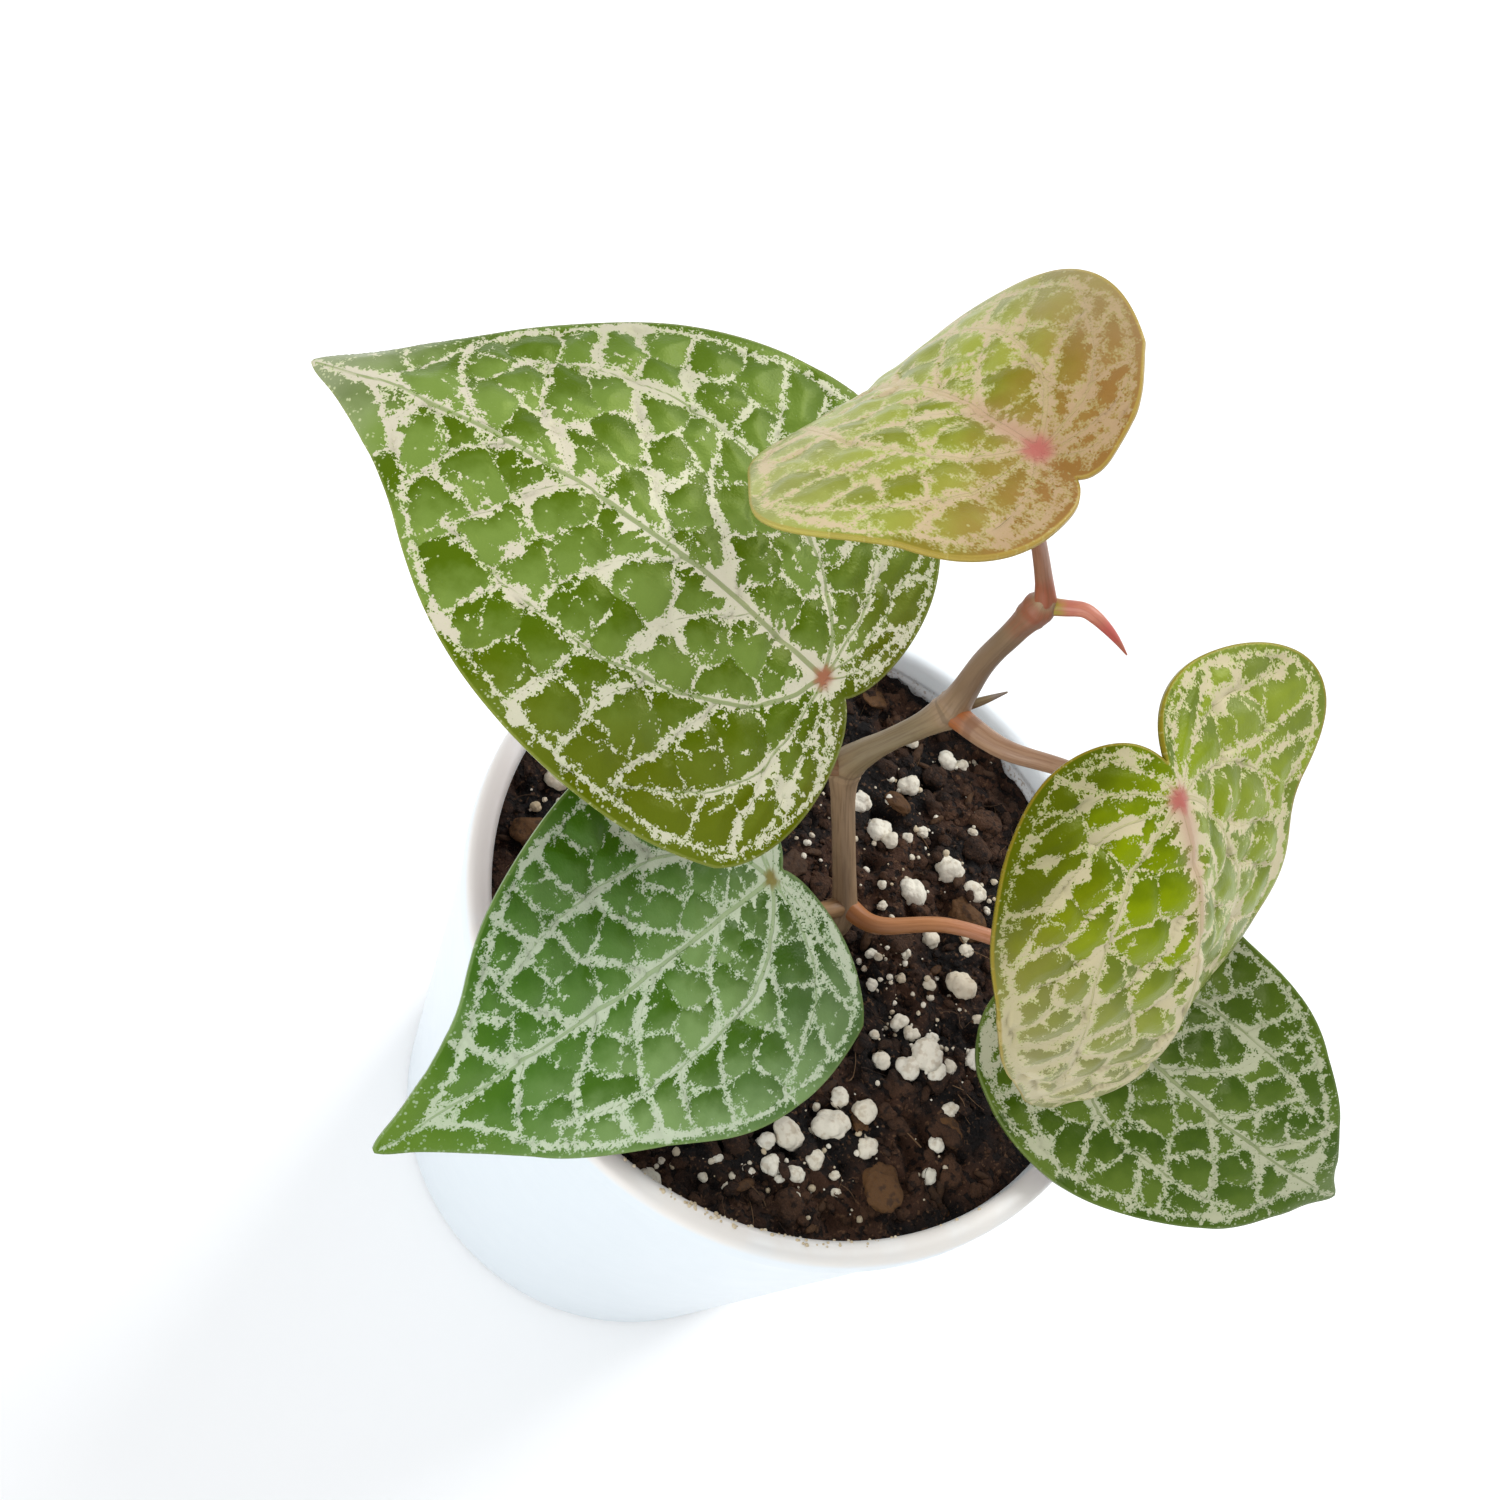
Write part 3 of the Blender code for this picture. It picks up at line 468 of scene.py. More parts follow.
@dataclass(frozen=True)
class LeafUpper:
    """Living upper leaf skin: satin green cells under a torn silver net, with thin green vein lines."""

    TEAR = 0.6  # mm, size of the tears in the net's edge
    TEAR_DEPTH = 1.7  # mm
    FRAY = 0.2  # mm, size of the finest fraying
    FRAY_DEPTH = 1.1  # mm
    WEAR = 0.42  # mm, size of the worn spots in the silver
    SPECK_SPACING = 1.1  # mm between loose flecks of silver
    DUST_SPACING = 0.55  # mm between the smallest flecks
    WAVER = 8.0  # mm by which the border of a wash wavers

    name: str
    tint: Tint
    length: float  # of the blade, in mm

    def masks(self, kit: Dresser, flat: Socket) -> list[Socket]:
        """How far each wash has set in.

        Args:
            kit: the material.
            flat: place in the flat blade.

        Returns:
            A value from 0 to 1 for each wash.
        """
        masks = []
        cloud = kit.add(Step.LESS, kit.add(Step.NOISE, flat, 1 / 4.0, 3.0), 0.5)
        for wash in self.tint.washes:
            way = kit.add(Step.ALONG, flat, (*wash.way, 0.0))
            masks.append(kit.add(Step.RAMP, kit.add(Step.PLUS, cloud, self.WAVER, way), *wash.span))
        return masks

    def silver_reach(self, kit: Dresser, flat: Socket, torn: Socket, masks: list[Socket]) -> Socket:
        """How far inside the silver net a point lies, with the net's edge torn and worn.

        Args:
            kit: the material.
            flat: place in the flat blade.
            torn: noise that tears the edge.
            masks: of the washes, each of which widens the net in its own measure.

        Returns:
            Millimetres, negative outside the net.
        """
        reach = kit.add(Step.PLUS, torn, self.TEAR_DEPTH, kit.add(Step.FIELD, attribute_name="silver"))
        for wash, mask in zip(self.tint.washes, masks):
            reach = kit.add(Step.PLUS, mask, wash.gain, reach)
        fray = kit.add(Step.LESS, kit.add(Step.NOISE, flat, 1 / self.FRAY, 1.0), 0.5)
        reach = kit.add(Step.PLUS, fray, self.FRAY_DEPTH, reach)
        worn = kit.add(Step.NOISE, flat, 1 / self.WEAR, 3.0)
        return kit.add(Step.LESS, reach, kit.add(Step.RAMP, worn, 0.6, 0.68, 0.0, 0.6))

    def flecks(self, kit: Dresser, flat: Socket) -> Socket:
        """Loose flecks of silver in the green, with the smallest near the edge and the tip.

        Args:
            kit: the material.
            flat: place in the flat blade.

        Returns:
            How much silver they add.
        """
        patches = kit.add(Step.RAMP, kit.add(Step.NOISE, flat, 1 / 2.6), 0.56, 0.6)
        speck = kit.add(Step.RAMP, kit.add(Step.SPECKS, flat, 1 / self.SPECK_SPACING), 0.13, 0.07)
        speck = kit.add(Step.TIMES, speck, patches)
        near_edge = kit.add(Step.RAMP, kit.add(Step.FIELD, attribute_name="edge"), 1.6, 0.8, 0.0, 0.2)
        along = kit.add(Step.PARTS, flat, out="X")
        near_tip = kit.add(Step.RAMP, along, 0.66 * self.length, 0.95 * self.length, 0.0, 0.15)
        chosen = kit.add(Step.ADD, kit.add(Step.NOISE, flat, 1 / 0.9), near_edge)
        chosen = kit.add(Step.RAMP, kit.add(Step.ADD, chosen, near_tip), 0.68, 0.74)
        dust = kit.add(Step.RAMP, kit.add(Step.SPECKS, flat, 1 / self.DUST_SPACING), 0.32, 0.18)
        dust = kit.add(Step.TIMES, dust, chosen)
        return kit.add(Step.TIMES, kit.add(Step.LARGER, speck, dust), 0.75)

    def marks(self, kit: Dresser, flat: Socket, torn: Socket, line: Socket, colour: Socket) -> Socket:
        """Thin vein lines, flush along the midrib, margin, and the spot where the stalk meets.

        Args:
            kit: the material.
            flat: place in the flat blade.
            torn: noise that makes the spot uneven.
            line: strength of the vein lines.
            colour: the cells and the net.

        Returns:
            The colour with the marks over it.
        """
        tint, vein = self.tint, kit.add(Step.FIELD, attribute_name="line")
        ridge = kit.add(Step.BLEND, kit.add(Step.RAMP, vein, 0.04, 0.16), tint.lit, tint.vein)
        colour = kit.add(Step.BLEND, kit.add(Step.TIMES, line, tint.line_share), colour, ridge)
        flush = kit.add(Step.TIMES, kit.add(Step.FIELD, attribute_name="blush"), tint.blush_share)
        colour = kit.add(Step.BLEND, flush, colour, tint.blush)
        edge = kit.add(Step.RAMP, kit.add(Step.FIELD, attribute_name="edge"), 0.3, 0.12)
        colour = kit.add(Step.BLEND, kit.add(Step.TIMES, edge, tint.margin_share), colour, tint.margin)
        away = kit.add(Step.PLUS, torn, 0.8, kit.add(Step.LENGTH, flat))
        away = kit.add(Step.PLUS, kit.add(Step.RAMP, vein, -0.4, 0.3), -0.6, away)
        return kit.add(Step.BLEND, kit.add(Step.RAMP, away, tint.spot_size, 0.0, 0.0, 0.9), colour, tint.spot)

    def build(self) -> Material:
        """Make the material.

        Returns:
            The material.
        """
        kit, tint = Dresser(self.name), self.tint
        flat = kit.add(Step.FIELD, out="Vector", attribute_name="flat")
        torn = kit.add(Step.LESS, kit.add(Step.NOISE, flat, 1 / self.TEAR, 4.0), 0.5)
        masks = self.masks(kit, flat)
        reach = self.silver_reach(kit, flat, torn, masks)
        net = kit.add(Step.RAMP, reach, -tint.softness, tint.softness)
        net = kit.add(Step.LARGER, net, self.flecks(kit, flat))

        # Painted light and shade: the lit colour on the cells' pillow tops and sheen side, the deep colour on
        # their other side, mixed with each cell's random shade.
        cell = kit.add(Step.TIMES, kit.add(Step.FIELD, attribute_name="relief"), 0.15)
        cell = kit.add(Step.PLUS, kit.add(Step.FIELD, attribute_name="tone"), 0.9, cell)
        cloud = kit.add(Step.LESS, kit.add(Step.NOISE, flat, 1 / 1.6, 3.0), 0.5)
        cell = kit.add(Step.RAMP, kit.add(Step.PLUS, cloud, 0.5, cell), 0.2, 0.85)
        green = kit.add(Step.BLEND, cell, tint.deep, tint.lit)
        cloud = kit.add(Step.LESS, kit.add(Step.NOISE, flat, 1 / 2.0), 0.5)
        thick = kit.add(Step.RAMP, kit.add(Step.PLUS, cloud, 0.5, reach), 0.0, 0.3)
        silver = kit.add(Step.BLEND, thick, tint.silver_cool, tint.silver)
        for wash, mask in zip(tint.washes, masks):
            green = kit.add(Step.BLEND, kit.add(Step.TIMES, mask, wash.share), green, wash.colour)
            silver = kit.add(Step.BLEND, kit.add(Step.TIMES, mask, wash.on_silver), silver, wash.colour)
        line = kit.add(Step.RAMP, kit.add(Step.FIELD, attribute_name="line"), -0.04, 0.05)
        colour = self.marks(kit, flat, torn, line, kit.add(Step.BLEND, net, green, silver))

        skin = kit.add(Step.TIMES, net, 0.25)
        skin = kit.add(Step.PLUS, kit.add(Step.NOISE, flat, 1 / 0.3), 0.35, skin)
        skin = kit.add(Step.BUMP, kit.add(Step.PLUS, line, 0.5, skin), 0.1 * MM)
        return kit.finish(
            colour, kit.add(Step.PLUS, net, 0.12, 0.32), skin, Specular_IOR_Level=0.3,
            Specular_Tint=linear(tint.gloss),
        )


@dataclass(frozen=True)
class LeafUnder:
    """Lower leaf skin: dull maroon with paler raised veins."""

    name: str
    tint: Tint

    def build(self) -> Material:
        """Make the material.

        Returns:
            The material.
        """
        kit = Dresser(self.name)
        flat = kit.add(Step.FIELD, out="Vector", attribute_name="flat")
        vein = kit.add(Step.RAMP, kit.add(Step.FIELD, attribute_name="line"), -0.35, 0.1)
        net = kit.add(Step.RAMP, kit.add(Step.FIELD, attribute_name="silver"), -0.5, 0.4, 0.0, 0.45)
        colour = kit.add(Step.BLEND, kit.add(Step.LARGER, vein, net), self.tint.under, self.tint.under_vein)
        cloud = kit.add(Step.RAMP, kit.add(Step.NOISE, flat, 1 / 2.5, 3.0), 0.3, 0.8, 0.0, 0.3)
        colour = kit.add(Step.BLEND, cloud, colour, self.tint.under_vein)
        relief = kit.add(Step.BUMP, kit.add(Step.NOISE, flat, 1 / 0.3), 0.08 * MM)
        return kit.finish(colour, 0.55, relief)


@dataclass(frozen=True)
class PotPlastic:
    """Thin white moulded plastic with a satin skin and a faint film of dust near the soil; painted light
    makes the inner wall and the lip's far side brighter.
    """

    name: str = "white_pot_plastic"
    white: str = "#e2ebf1"
    lip: str = "#f2ede6"
    # Painted light: the same plastic painted brighter for the inner wall and the lip's far side.
    wall: str = "#eef6fa"
    dust: str = "#b9a894"

    def build(self) -> Material:
        """Make the material.

        Returns:
            The material.
        """
        kit = Dresser(self.name)
        where = kit.add(Step.ENLARGE, kit.add(Step.PLACE), 1 / MM)
        height = kit.add(Step.PARTS, where, out="Z")
        across = kit.add(Step.LENGTH, kit.add(Step.STRETCH, where, (1.0, 1.0, 0.0)))
        cloud = kit.add(Step.NOISE, where, 1 / 6.0, 4.0)
        # With the taper taken off, one radius parts the wall's inner face from its outer face
        untapered = kit.add(Step.PLUS, height, -WALL_SLOPE, across)
        inside = kit.add(Step.RAMP, untapered, BASE_RADIUS - 0.6, BASE_RADIUS - 1.1)
        # Painted light: the inner face is painted brighter than the outer face, against the shade inside the
        # pot.
        colour = kit.add(Step.BLEND, inside, self.white, linear(self.wall))
        # Painted light: the lip is painted whiter towards its far side.
        far = kit.add(Step.RAMP, kit.add(Step.PARTS, where, out="Y"), -12.0, 18.0)
        lip = kit.add(Step.BLEND, far, self.lip, linear(self.wall))
        on_lip = kit.add(Step.RAMP, height, POT_HEIGHT - 1.3, POT_HEIGHT - 0.3)
        on_lip = kit.add(Step.TIMES, on_lip, kit.add(Step.RAMP, cloud, 0.2, 0.6, 0.55, 0.95))
        colour = kit.add(Step.BLEND, on_lip, colour, lip)
        film = kit.add(Step.PLUS, cloud, 4.0, height)
        film = kit.add(Step.RAMP, film, SOIL_LEVEL + 5.0, SOIL_LEVEL + 1.5, 0.0, 0.3)
        low = kit.add(Step.RAMP, height, SOIL_LEVEL + 2.6, SOIL_LEVEL + 0.6, 0.0, 0.8)
        grit = kit.add(Step.RAMP, kit.add(Step.NOISE, where, 1 / 0.45), 0.52, 0.66)
        dust = kit.add(Step.LARGER, film, kit.add(Step.TIMES, grit, low))
        dust = kit.add(Step.TIMES, dust, inside)
        colour = kit.add(Step.BLEND, dust, colour, self.dust)
        relief = kit.add(Step.PLUS, dust, 1.5, kit.add(Step.NOISE, where, 1 / 1.4, 3.0))
        relief = kit.add(Step.BUMP, relief, 0.03 * MM)
        roughness = kit.add(Step.PLUS, kit.add(Step.NOISE, where, 1 / 4.0), 0.12, 0.3)
        roughness = kit.add(Step.PLUS, dust, 0.4, roughness)
        return kit.finish(
            colour, roughness, relief, Subsurface_Weight=0.15, Subsurface_Scale=0.002,
            Subsurface_Radius=(1.0, 1.0, 1.0),
        )


@dataclass(frozen=True)
class PottingMix:
    """Damp dark peat and bark: red-brown crumbs and nearly black hollows, whose darkness is partly the damp
    peat's own colour and partly painted shade.
    """

    name: str = "damp_potting_mix"
    dark: str = "#0a0504"
    brown: str = "#462c1c"
    bright: str = "#7a5a40"

    def build(self) -> Material:
        """Make the material.

        Returns:
            The material.
        """
        kit = Dresser(self.name)
        where = kit.add(Step.ENLARGE, kit.add(Step.PLACE), 1 / MM)
        drift = kit.add(Step.RAMP, kit.add(Step.NOISE, where, 1 / SOIL_DRIFT, 5.0), 0.4, 0.62)
        colour = kit.add(Step.BLEND, drift, self.dark, self.brown)
        fleck = kit.add(Step.RAMP, kit.add(Step.NOISE, where, 1 / 0.5, 3.0), 0.56, 0.7)
        colour = kit.add(Step.BLEND, kit.add(Step.TIMES, fleck, 0.7), colour, self.bright)
        # Painted shade: the bump's hollows darkened nearly to black, over the peat's own dark colour.
        shaded_hollow = kit.add(Step.RAMP, kit.add(Step.NOISE, where, 1 / 1.1, 4.0), 0.47, 0.38)
        colour = kit.add(Step.BLEND, kit.add(Step.TIMES, shaded_hollow, 0.85), colour, self.dark)
        relief = kit.add(Step.PLUS, shaded_hollow, -1.0, kit.add(Step.NOISE, where, 1 / 0.45, 5.0))
        return kit.finish(colour, 0.85, kit.add(Step.BUMP, relief, 0.45 * MM), Specular_IOR_Level=0.3)


@dataclass(frozen=True)
class Lump:
    """Loose grains of the mix, each with its own shade between two colours."""

    name: str
    first: str
    second: str
    stain: str
    stained: float  # share of stain
    roughness: float
    grain: float  # size of the surface's pits in mm
    depth: float  # and their depth
    drift: float = 0.0  # how far the shade follows the soil's drifts instead of the grain
    flecked: float = 0.0  # share of small flecks of the second colour

    def build(self) -> Material:
        """Make the material.

        Returns:
            The material.
        """
        kit = Dresser(self.name)
        where = kit.add(Step.ENLARGE, kit.add(Step.PLACE), 1 / MM)
        drift = kit.add(Step.RAMP, kit.add(Step.NOISE, where, 1 / SOIL_DRIFT, 5.0), 0.4, 0.62)
        drift = kit.add(Step.TIMES, drift, self.drift)
        tone = kit.add(Step.PLUS, kit.add(Step.FIELD, attribute_name="tone"), 1 - self.drift, drift)
        colour = kit.add(Step.BLEND, tone, self.first, self.second)
        fleck = kit.add(Step.NOISE, where, 1 / 0.32, 3.0)
        fleck = kit.add(Step.RAMP, fleck, 0.56, 0.68, 0.0, self.flecked)
        colour = kit.add(Step.BLEND, fleck, colour, self.second)
        stain = kit.add(Step.RAMP, kit.add(Step.NOISE, where, 1 / 0.8, 4.0), 0.5, 0.66)
        colour = kit.add(Step.BLEND, kit.add(Step.TIMES, stain, self.stained), colour, self.stain)
        relief = kit.add(Step.BUMP, kit.add(Step.NOISE, where, 1 / self.grain, 4.0), self.depth * MM)
        return kit.finish(colour, self.roughness, relief, Specular_IOR_Level=0.3)


@dataclass(frozen=True)
class Bark:
    """Skin of a stem: fine lengthwise streaks over a matt or satin ground."""

    name: str
    ground: str
    streak: str
    roughness: float
    ridges: float  # depth of the streaks in mm
    zones: tuple = ()  # stretches of another colour: middle, half length in mm, colour, share

    def build(self) -> Material:
        """Make the material.

        Returns:
            The material.
        """
        kit = Dresser(self.name)
        strip = kit.add(Step.FIELD, out="Vector", attribute_name="strip")
        streaks = kit.add(Step.NOISE, kit.add(Step.STRETCH, strip, (1.0, 1.0, 0.07)), 1 / 0.3, 3.0)
        cloud = kit.add(Step.NOISE, strip, 1 / 1.6, 4.0)
        along = kit.add(Step.PLUS, kit.add(Step.LESS, cloud, 0.5), 1.2, kit.add(Step.PARTS, strip, out="Z"))
        colour = self.ground
        for middle, half, shade, share in self.zones:
            away = kit.add(Step.SIZE, kit.add(Step.LESS, along, middle))
            here = kit.add(Step.RAMP, away, half, 0.35 * half, 0.0, share)
            colour = kit.add(Step.BLEND, here, colour, shade)
        for pattern, low, high, share in ((streaks, 0.4, 0.7, 0.55), (cloud, 0.5, 0.8, 0.4)):
            here = kit.add(Step.RAMP, pattern, low, high, 0.0, share)
            colour = kit.add(Step.BLEND, here, colour, self.streak)
        relief = kit.add(Step.BUMP, kit.add(Step.PLUS, cloud, 0.3, streaks), self.ridges * MM)
        return kit.finish(colour, self.roughness, relief, Specular_IOR_Level=0.4)


@dataclass(frozen=True)
class Paper:
    """Matt white sweep of paper under the pot."""

    name: str = "white_paper"
    white: str = "#fbfbfb"

    def build(self) -> Material:
        """Make the material.

        Returns:
            The material.
        """
        kit = Dresser(self.name)
        where = kit.add(Step.ENLARGE, kit.add(Step.PLACE), 1 / MM)
        relief = kit.add(Step.BUMP, kit.add(Step.NOISE, where, 1 / 0.8), 0.01 * MM)
        return kit.finish(linear(self.white), 0.9, relief, Specular_IOR_Level=0.1)


class Lattice:
    """Smooth repeatable noise over a plane, for shapes that are worked out in numbers."""

    SIZE = 97  # number of its values along each side

    def __init__(self, seed: int) -> None:
        """Draw the lattice's values."""
        self.values = np.random.default_rng(seed).random((self.SIZE, self.SIZE))

    def __call__(self, x: Array, y: Array) -> Array:
        """Noise at points, with one new value per unit.

        Args:
            x: first coordinates.
            y: second coordinates.

        Returns:
            Values from 0 to 1.
        """
        column, row = np.floor(x).astype(int), np.floor(y).astype(int)
        fx, fy = x - column, y - row
        fx, fy = fx * fx * (3 - 2 * fx), fy * fy * (3 - 2 * fy)
        c0, c1 = column % self.SIZE, (column + 1) % self.SIZE
        r0, r1 = row % self.SIZE, (row + 1) % self.SIZE
        near = self.values[r0, c0] * (1 - fx) + self.values[r0, c1] * fx
        far = self.values[r1, c0] * (1 - fx) + self.values[r1, c1] * fx
        return near * (1 - fy) + far * fy


def smooth_route(route: Sequence, step: float) -> Array:
    """Points along the smooth curve through a route, with every value blended.

    Args:
        route: rows of coordinates and any further values, such as a radius.
        step: rough distance between the points.

    Returns:
        The points, as rows of the same values.
    """
    knots = np.array(route, dtype=float)
    padded = np.vstack((2 * knots[0] - knots[1], knots, 2 * knots[-1] - knots[-2]))
    points = []
    for index in range(1, len(padded) - 2):
        before, here, there, after = padded[index - 1:index + 3]
        count = max(2, round(float(norm((there - here)[:3])) / step))
        for t in np.arange(count) / count:
            bend = 2 * here + (there - before) * t
            bend = bend + (2 * before - 5 * here + 4 * there - after) * t ** 2
            points.append(0.5 * (bend + (3 * here - before - 3 * there + after) * t ** 3))
    return np.array(points + [knots[-1]])


def hermite(x: Array, knots: Sequence, values: Sequence) -> Array:
    """Smooth curve through values at knots.

    Args:
        x: where the curve is wanted.
        knots: rising places.
        values: the values there.

    Returns:
        The curve's values.
    """
    knots, values = np.array(knots, dtype=float), np.array(values, dtype=float)
    slopes = np.gradient(values, knots)
    index = np.clip(np.searchsorted(knots, x, side="right") - 1, 0, len(knots) - 2)
    span = knots[index + 1] - knots[index]
    t = (x - knots[index]) / span
    start = (2 * t ** 3 - 3 * t ** 2 + 1) * values[index] + (t ** 3 - 2 * t ** 2 + t) * span * slopes[index]
    middle = start + (3 * t ** 2 - 2 * t ** 3) * values[index + 1]
    return middle + (t ** 3 - t ** 2) * span * slopes[index + 1]


def unit(vector: Sequence) -> Array:
    """The same direction with length one."""
    return np.array(vector, dtype=float) / norm(vector)


class BladeShape:
    """Outline and bend of one blade, worked out as in the CAD part."""

    def __init__(self, form: BladeForm) -> None:
        """Keep the form."""
        self.form = form

    def reach(self, angle: Array) -> Array:
        """Reach from the junction to the edge, before the widths.

        Args:
            angle: degrees from the tip, positive on the left.

        Returns:
            Shares of the blade's length.
        """
        side = np.abs(angle)
        reach = np.array(EDGE_REACH)
        reach[-1] = self.form.sinus
        reach[-2] = NOTCH_SHOULDER + self.form.sinus / 2
        left, right = (self.fullness(side, full) for full in (self.form.full_left, self.form.full_right))
        return hermite(side, EDGE_ANGLES, reach) * np.where(angle > 0, left, right)

    @staticmethod
    def fullness(angle: Array, amounts: Sequence) -> Array:
        """Factor that swells one side's outline, fading out at the tip and the notch.

        Args:
            angle: degrees from the tip.
            amounts: swelling at each of the outline's stations.

        Returns:
            The factor at each angle.
        """
        swell = np.zeros_like(angle)
        for centre, span, amount in zip(FULLNESS_ANGLES, FULLNESS_SPANS, amounts):
            swell += amount * np.exp(-((angle - centre) / span) ** 2)
        return 1 + swell * np.clip(angle / TIP_FADE, 0, 1) * np.clip((180 - angle) / NOTCH_FADE, 0, 1)

    def flat(self, angle: Array | float, share: Array | float) -> Array:
        """Flat places at an angle and a share of the way out.

        Args:
            angle: degrees from the tip, positive on the left.
            share: 0 at the junction, 1 at the edge.

        Returns:
            Along and across.
        """
        angle = np.asarray(angle, dtype=float)
        out = self.reach(angle) * share
        along, across = out * np.cos(np.radians(angle)), out * np.sin(np.radians(angle))
        along = np.where(along < 0, along * self.form.lobe, along)
        across = across * np.where(across > 0, *self.form.widths)
        return np.stack((along, across), axis=-1) * self.form.length

    def share(self, spots: Array) -> Array:
        """How far out flat points lie.

        Args:
            spots: flat points.

        Returns:
            0 at the junction, 1 at the edge.
        """
        along, across = spots[..., 0] / self.form.length, spots[..., 1] / self.form.length
        along = np.where(along < 0, along / self.form.lobe, along)
        across = across / np.where(across > 0, *self.form.widths)
        angle = np.degrees(np.arctan2(across, along))
        return np.hypot(along, across) / self.reach(angle)

    def frames(self, stations: Array) -> tuple[Array, Array, Array]:
        """Centre line of the bent blade and the directions there.

        Args:
            stations: places along the blade, as shares of its length.

        Returns:
            Points of the line, sideways directions and upward directions, by station.
        """
        form = self.form
        forward = unit(form.forward)
        upward = unit(np.array(form.upward) - forward * np.dot(form.upward, forward))
        leftward = np.cross(upward, forward)
        ahead = np.clip(stations, 0, None)
        droop = form.arch[0] * ahead + form.arch[1] * ahead ** 2 + form.lobe_curl * np.clip(stations, None, 0)
        sweep, twist = form.sweep * stations, form.twist * stations
        level = np.outer(np.cos(sweep), forward) + np.outer(np.sin(sweep), leftward)
        side = np.outer(np.cos(sweep), leftward) - np.outer(np.sin(sweep), forward)
        tangent = np.cos(droop)[:, None] * level - np.outer(np.sin(droop), upward)
        rise = np.sin(droop)[:, None] * level + np.outer(np.cos(droop), upward)
        cos_twist, sin_twist = np.cos(twist)[:, None], np.sin(twist)[:, None]
        side, rise = cos_twist * side + sin_twist * rise, cos_twist * rise - sin_twist * side
        steps = (tangent[1:] + tangent[:-1]) / 2 * np.diff(stations)[:, None]
        centre = np.vstack((np.zeros(3), np.cumsum(steps, axis=0)))
        start = [np.interp(0.0, stations, centre[:, axis]) for axis in range(3)]
        return (centre - start) * form.length + form.junction, side, rise

    def bend(self, spots: Array) -> Array:
        """Place flat points on the blade's bent middle surface.

        Args:
            spots: flat points.

        Returns:
            Their places in the plant.
        """
        form = self.form
        along, across = spots[:, 0] / form.length, spots[:, 1] / form.length
        stations = np.linspace(-0.4, 1.05, 146)
        centre, side, rise = (
            np.stack([np.interp(along, stations, values[:, axis]) for axis in range(3)], axis=-1)
            for values in self.frames(stations)
        )
        left = across > 0
        fold_left, fold_right = (base + change * along for base, change in (form.fold_left, form.fold_right))
        fold = np.where(left, fold_left, fold_right)
        curl = np.where(left, *form.cup) / (CUP_WIDTH * form.length)
        curl = np.where(np.abs(curl) < 1e-6, 1e-6, curl)
        reach = np.abs(spots[:, 1])
        outward = (np.sin(fold + curl * reach) - np.sin(fold)) / curl
        lift = (np.cos(fold) - np.cos(fold + curl * reach)) / curl
        return centre + side * (np.sign(across) * outward)[:, None] + rise * lift[:, None]


@dataclass
class Vein:
    """One vein in the flat blade, with half widths in millimetres at its start and end."""

    points: Array
    silver: tuple
    line: tuple

    def measure(self, spots: Array) -> tuple[Array, Array, Array, Array]:
        """How points lie to the vein.

        Args:
            spots: flat points.

        Returns:
            Distance to the vein, arc length there, side of the vein, and the arc length's share of
            the whole vein.
        """
        start, step = self.points[:-1], np.diff(self.points, axis=0)
        length = norm(step, axis=1)
        travelled = np.concatenate(([0.0], np.cumsum(length)))
        from_start = spots[:, None, :] - start[None]
        t = np.clip((from_start * step).sum(-1) / length ** 2, 0, 1)
        distance = norm(from_start - t[..., None] * step, axis=-1)
        best = distance.argmin(axis=1)
        rows = np.arange(len(spots))
        arc = travelled[best] + t[rows, best] * length[best]
        off = from_start[rows, best]
        side = np.sign(step[best, 0] * off[:, 1] - step[best, 1] * off[:, 0])
        return distance[rows, best], arc, side, arc / travelled[-1]


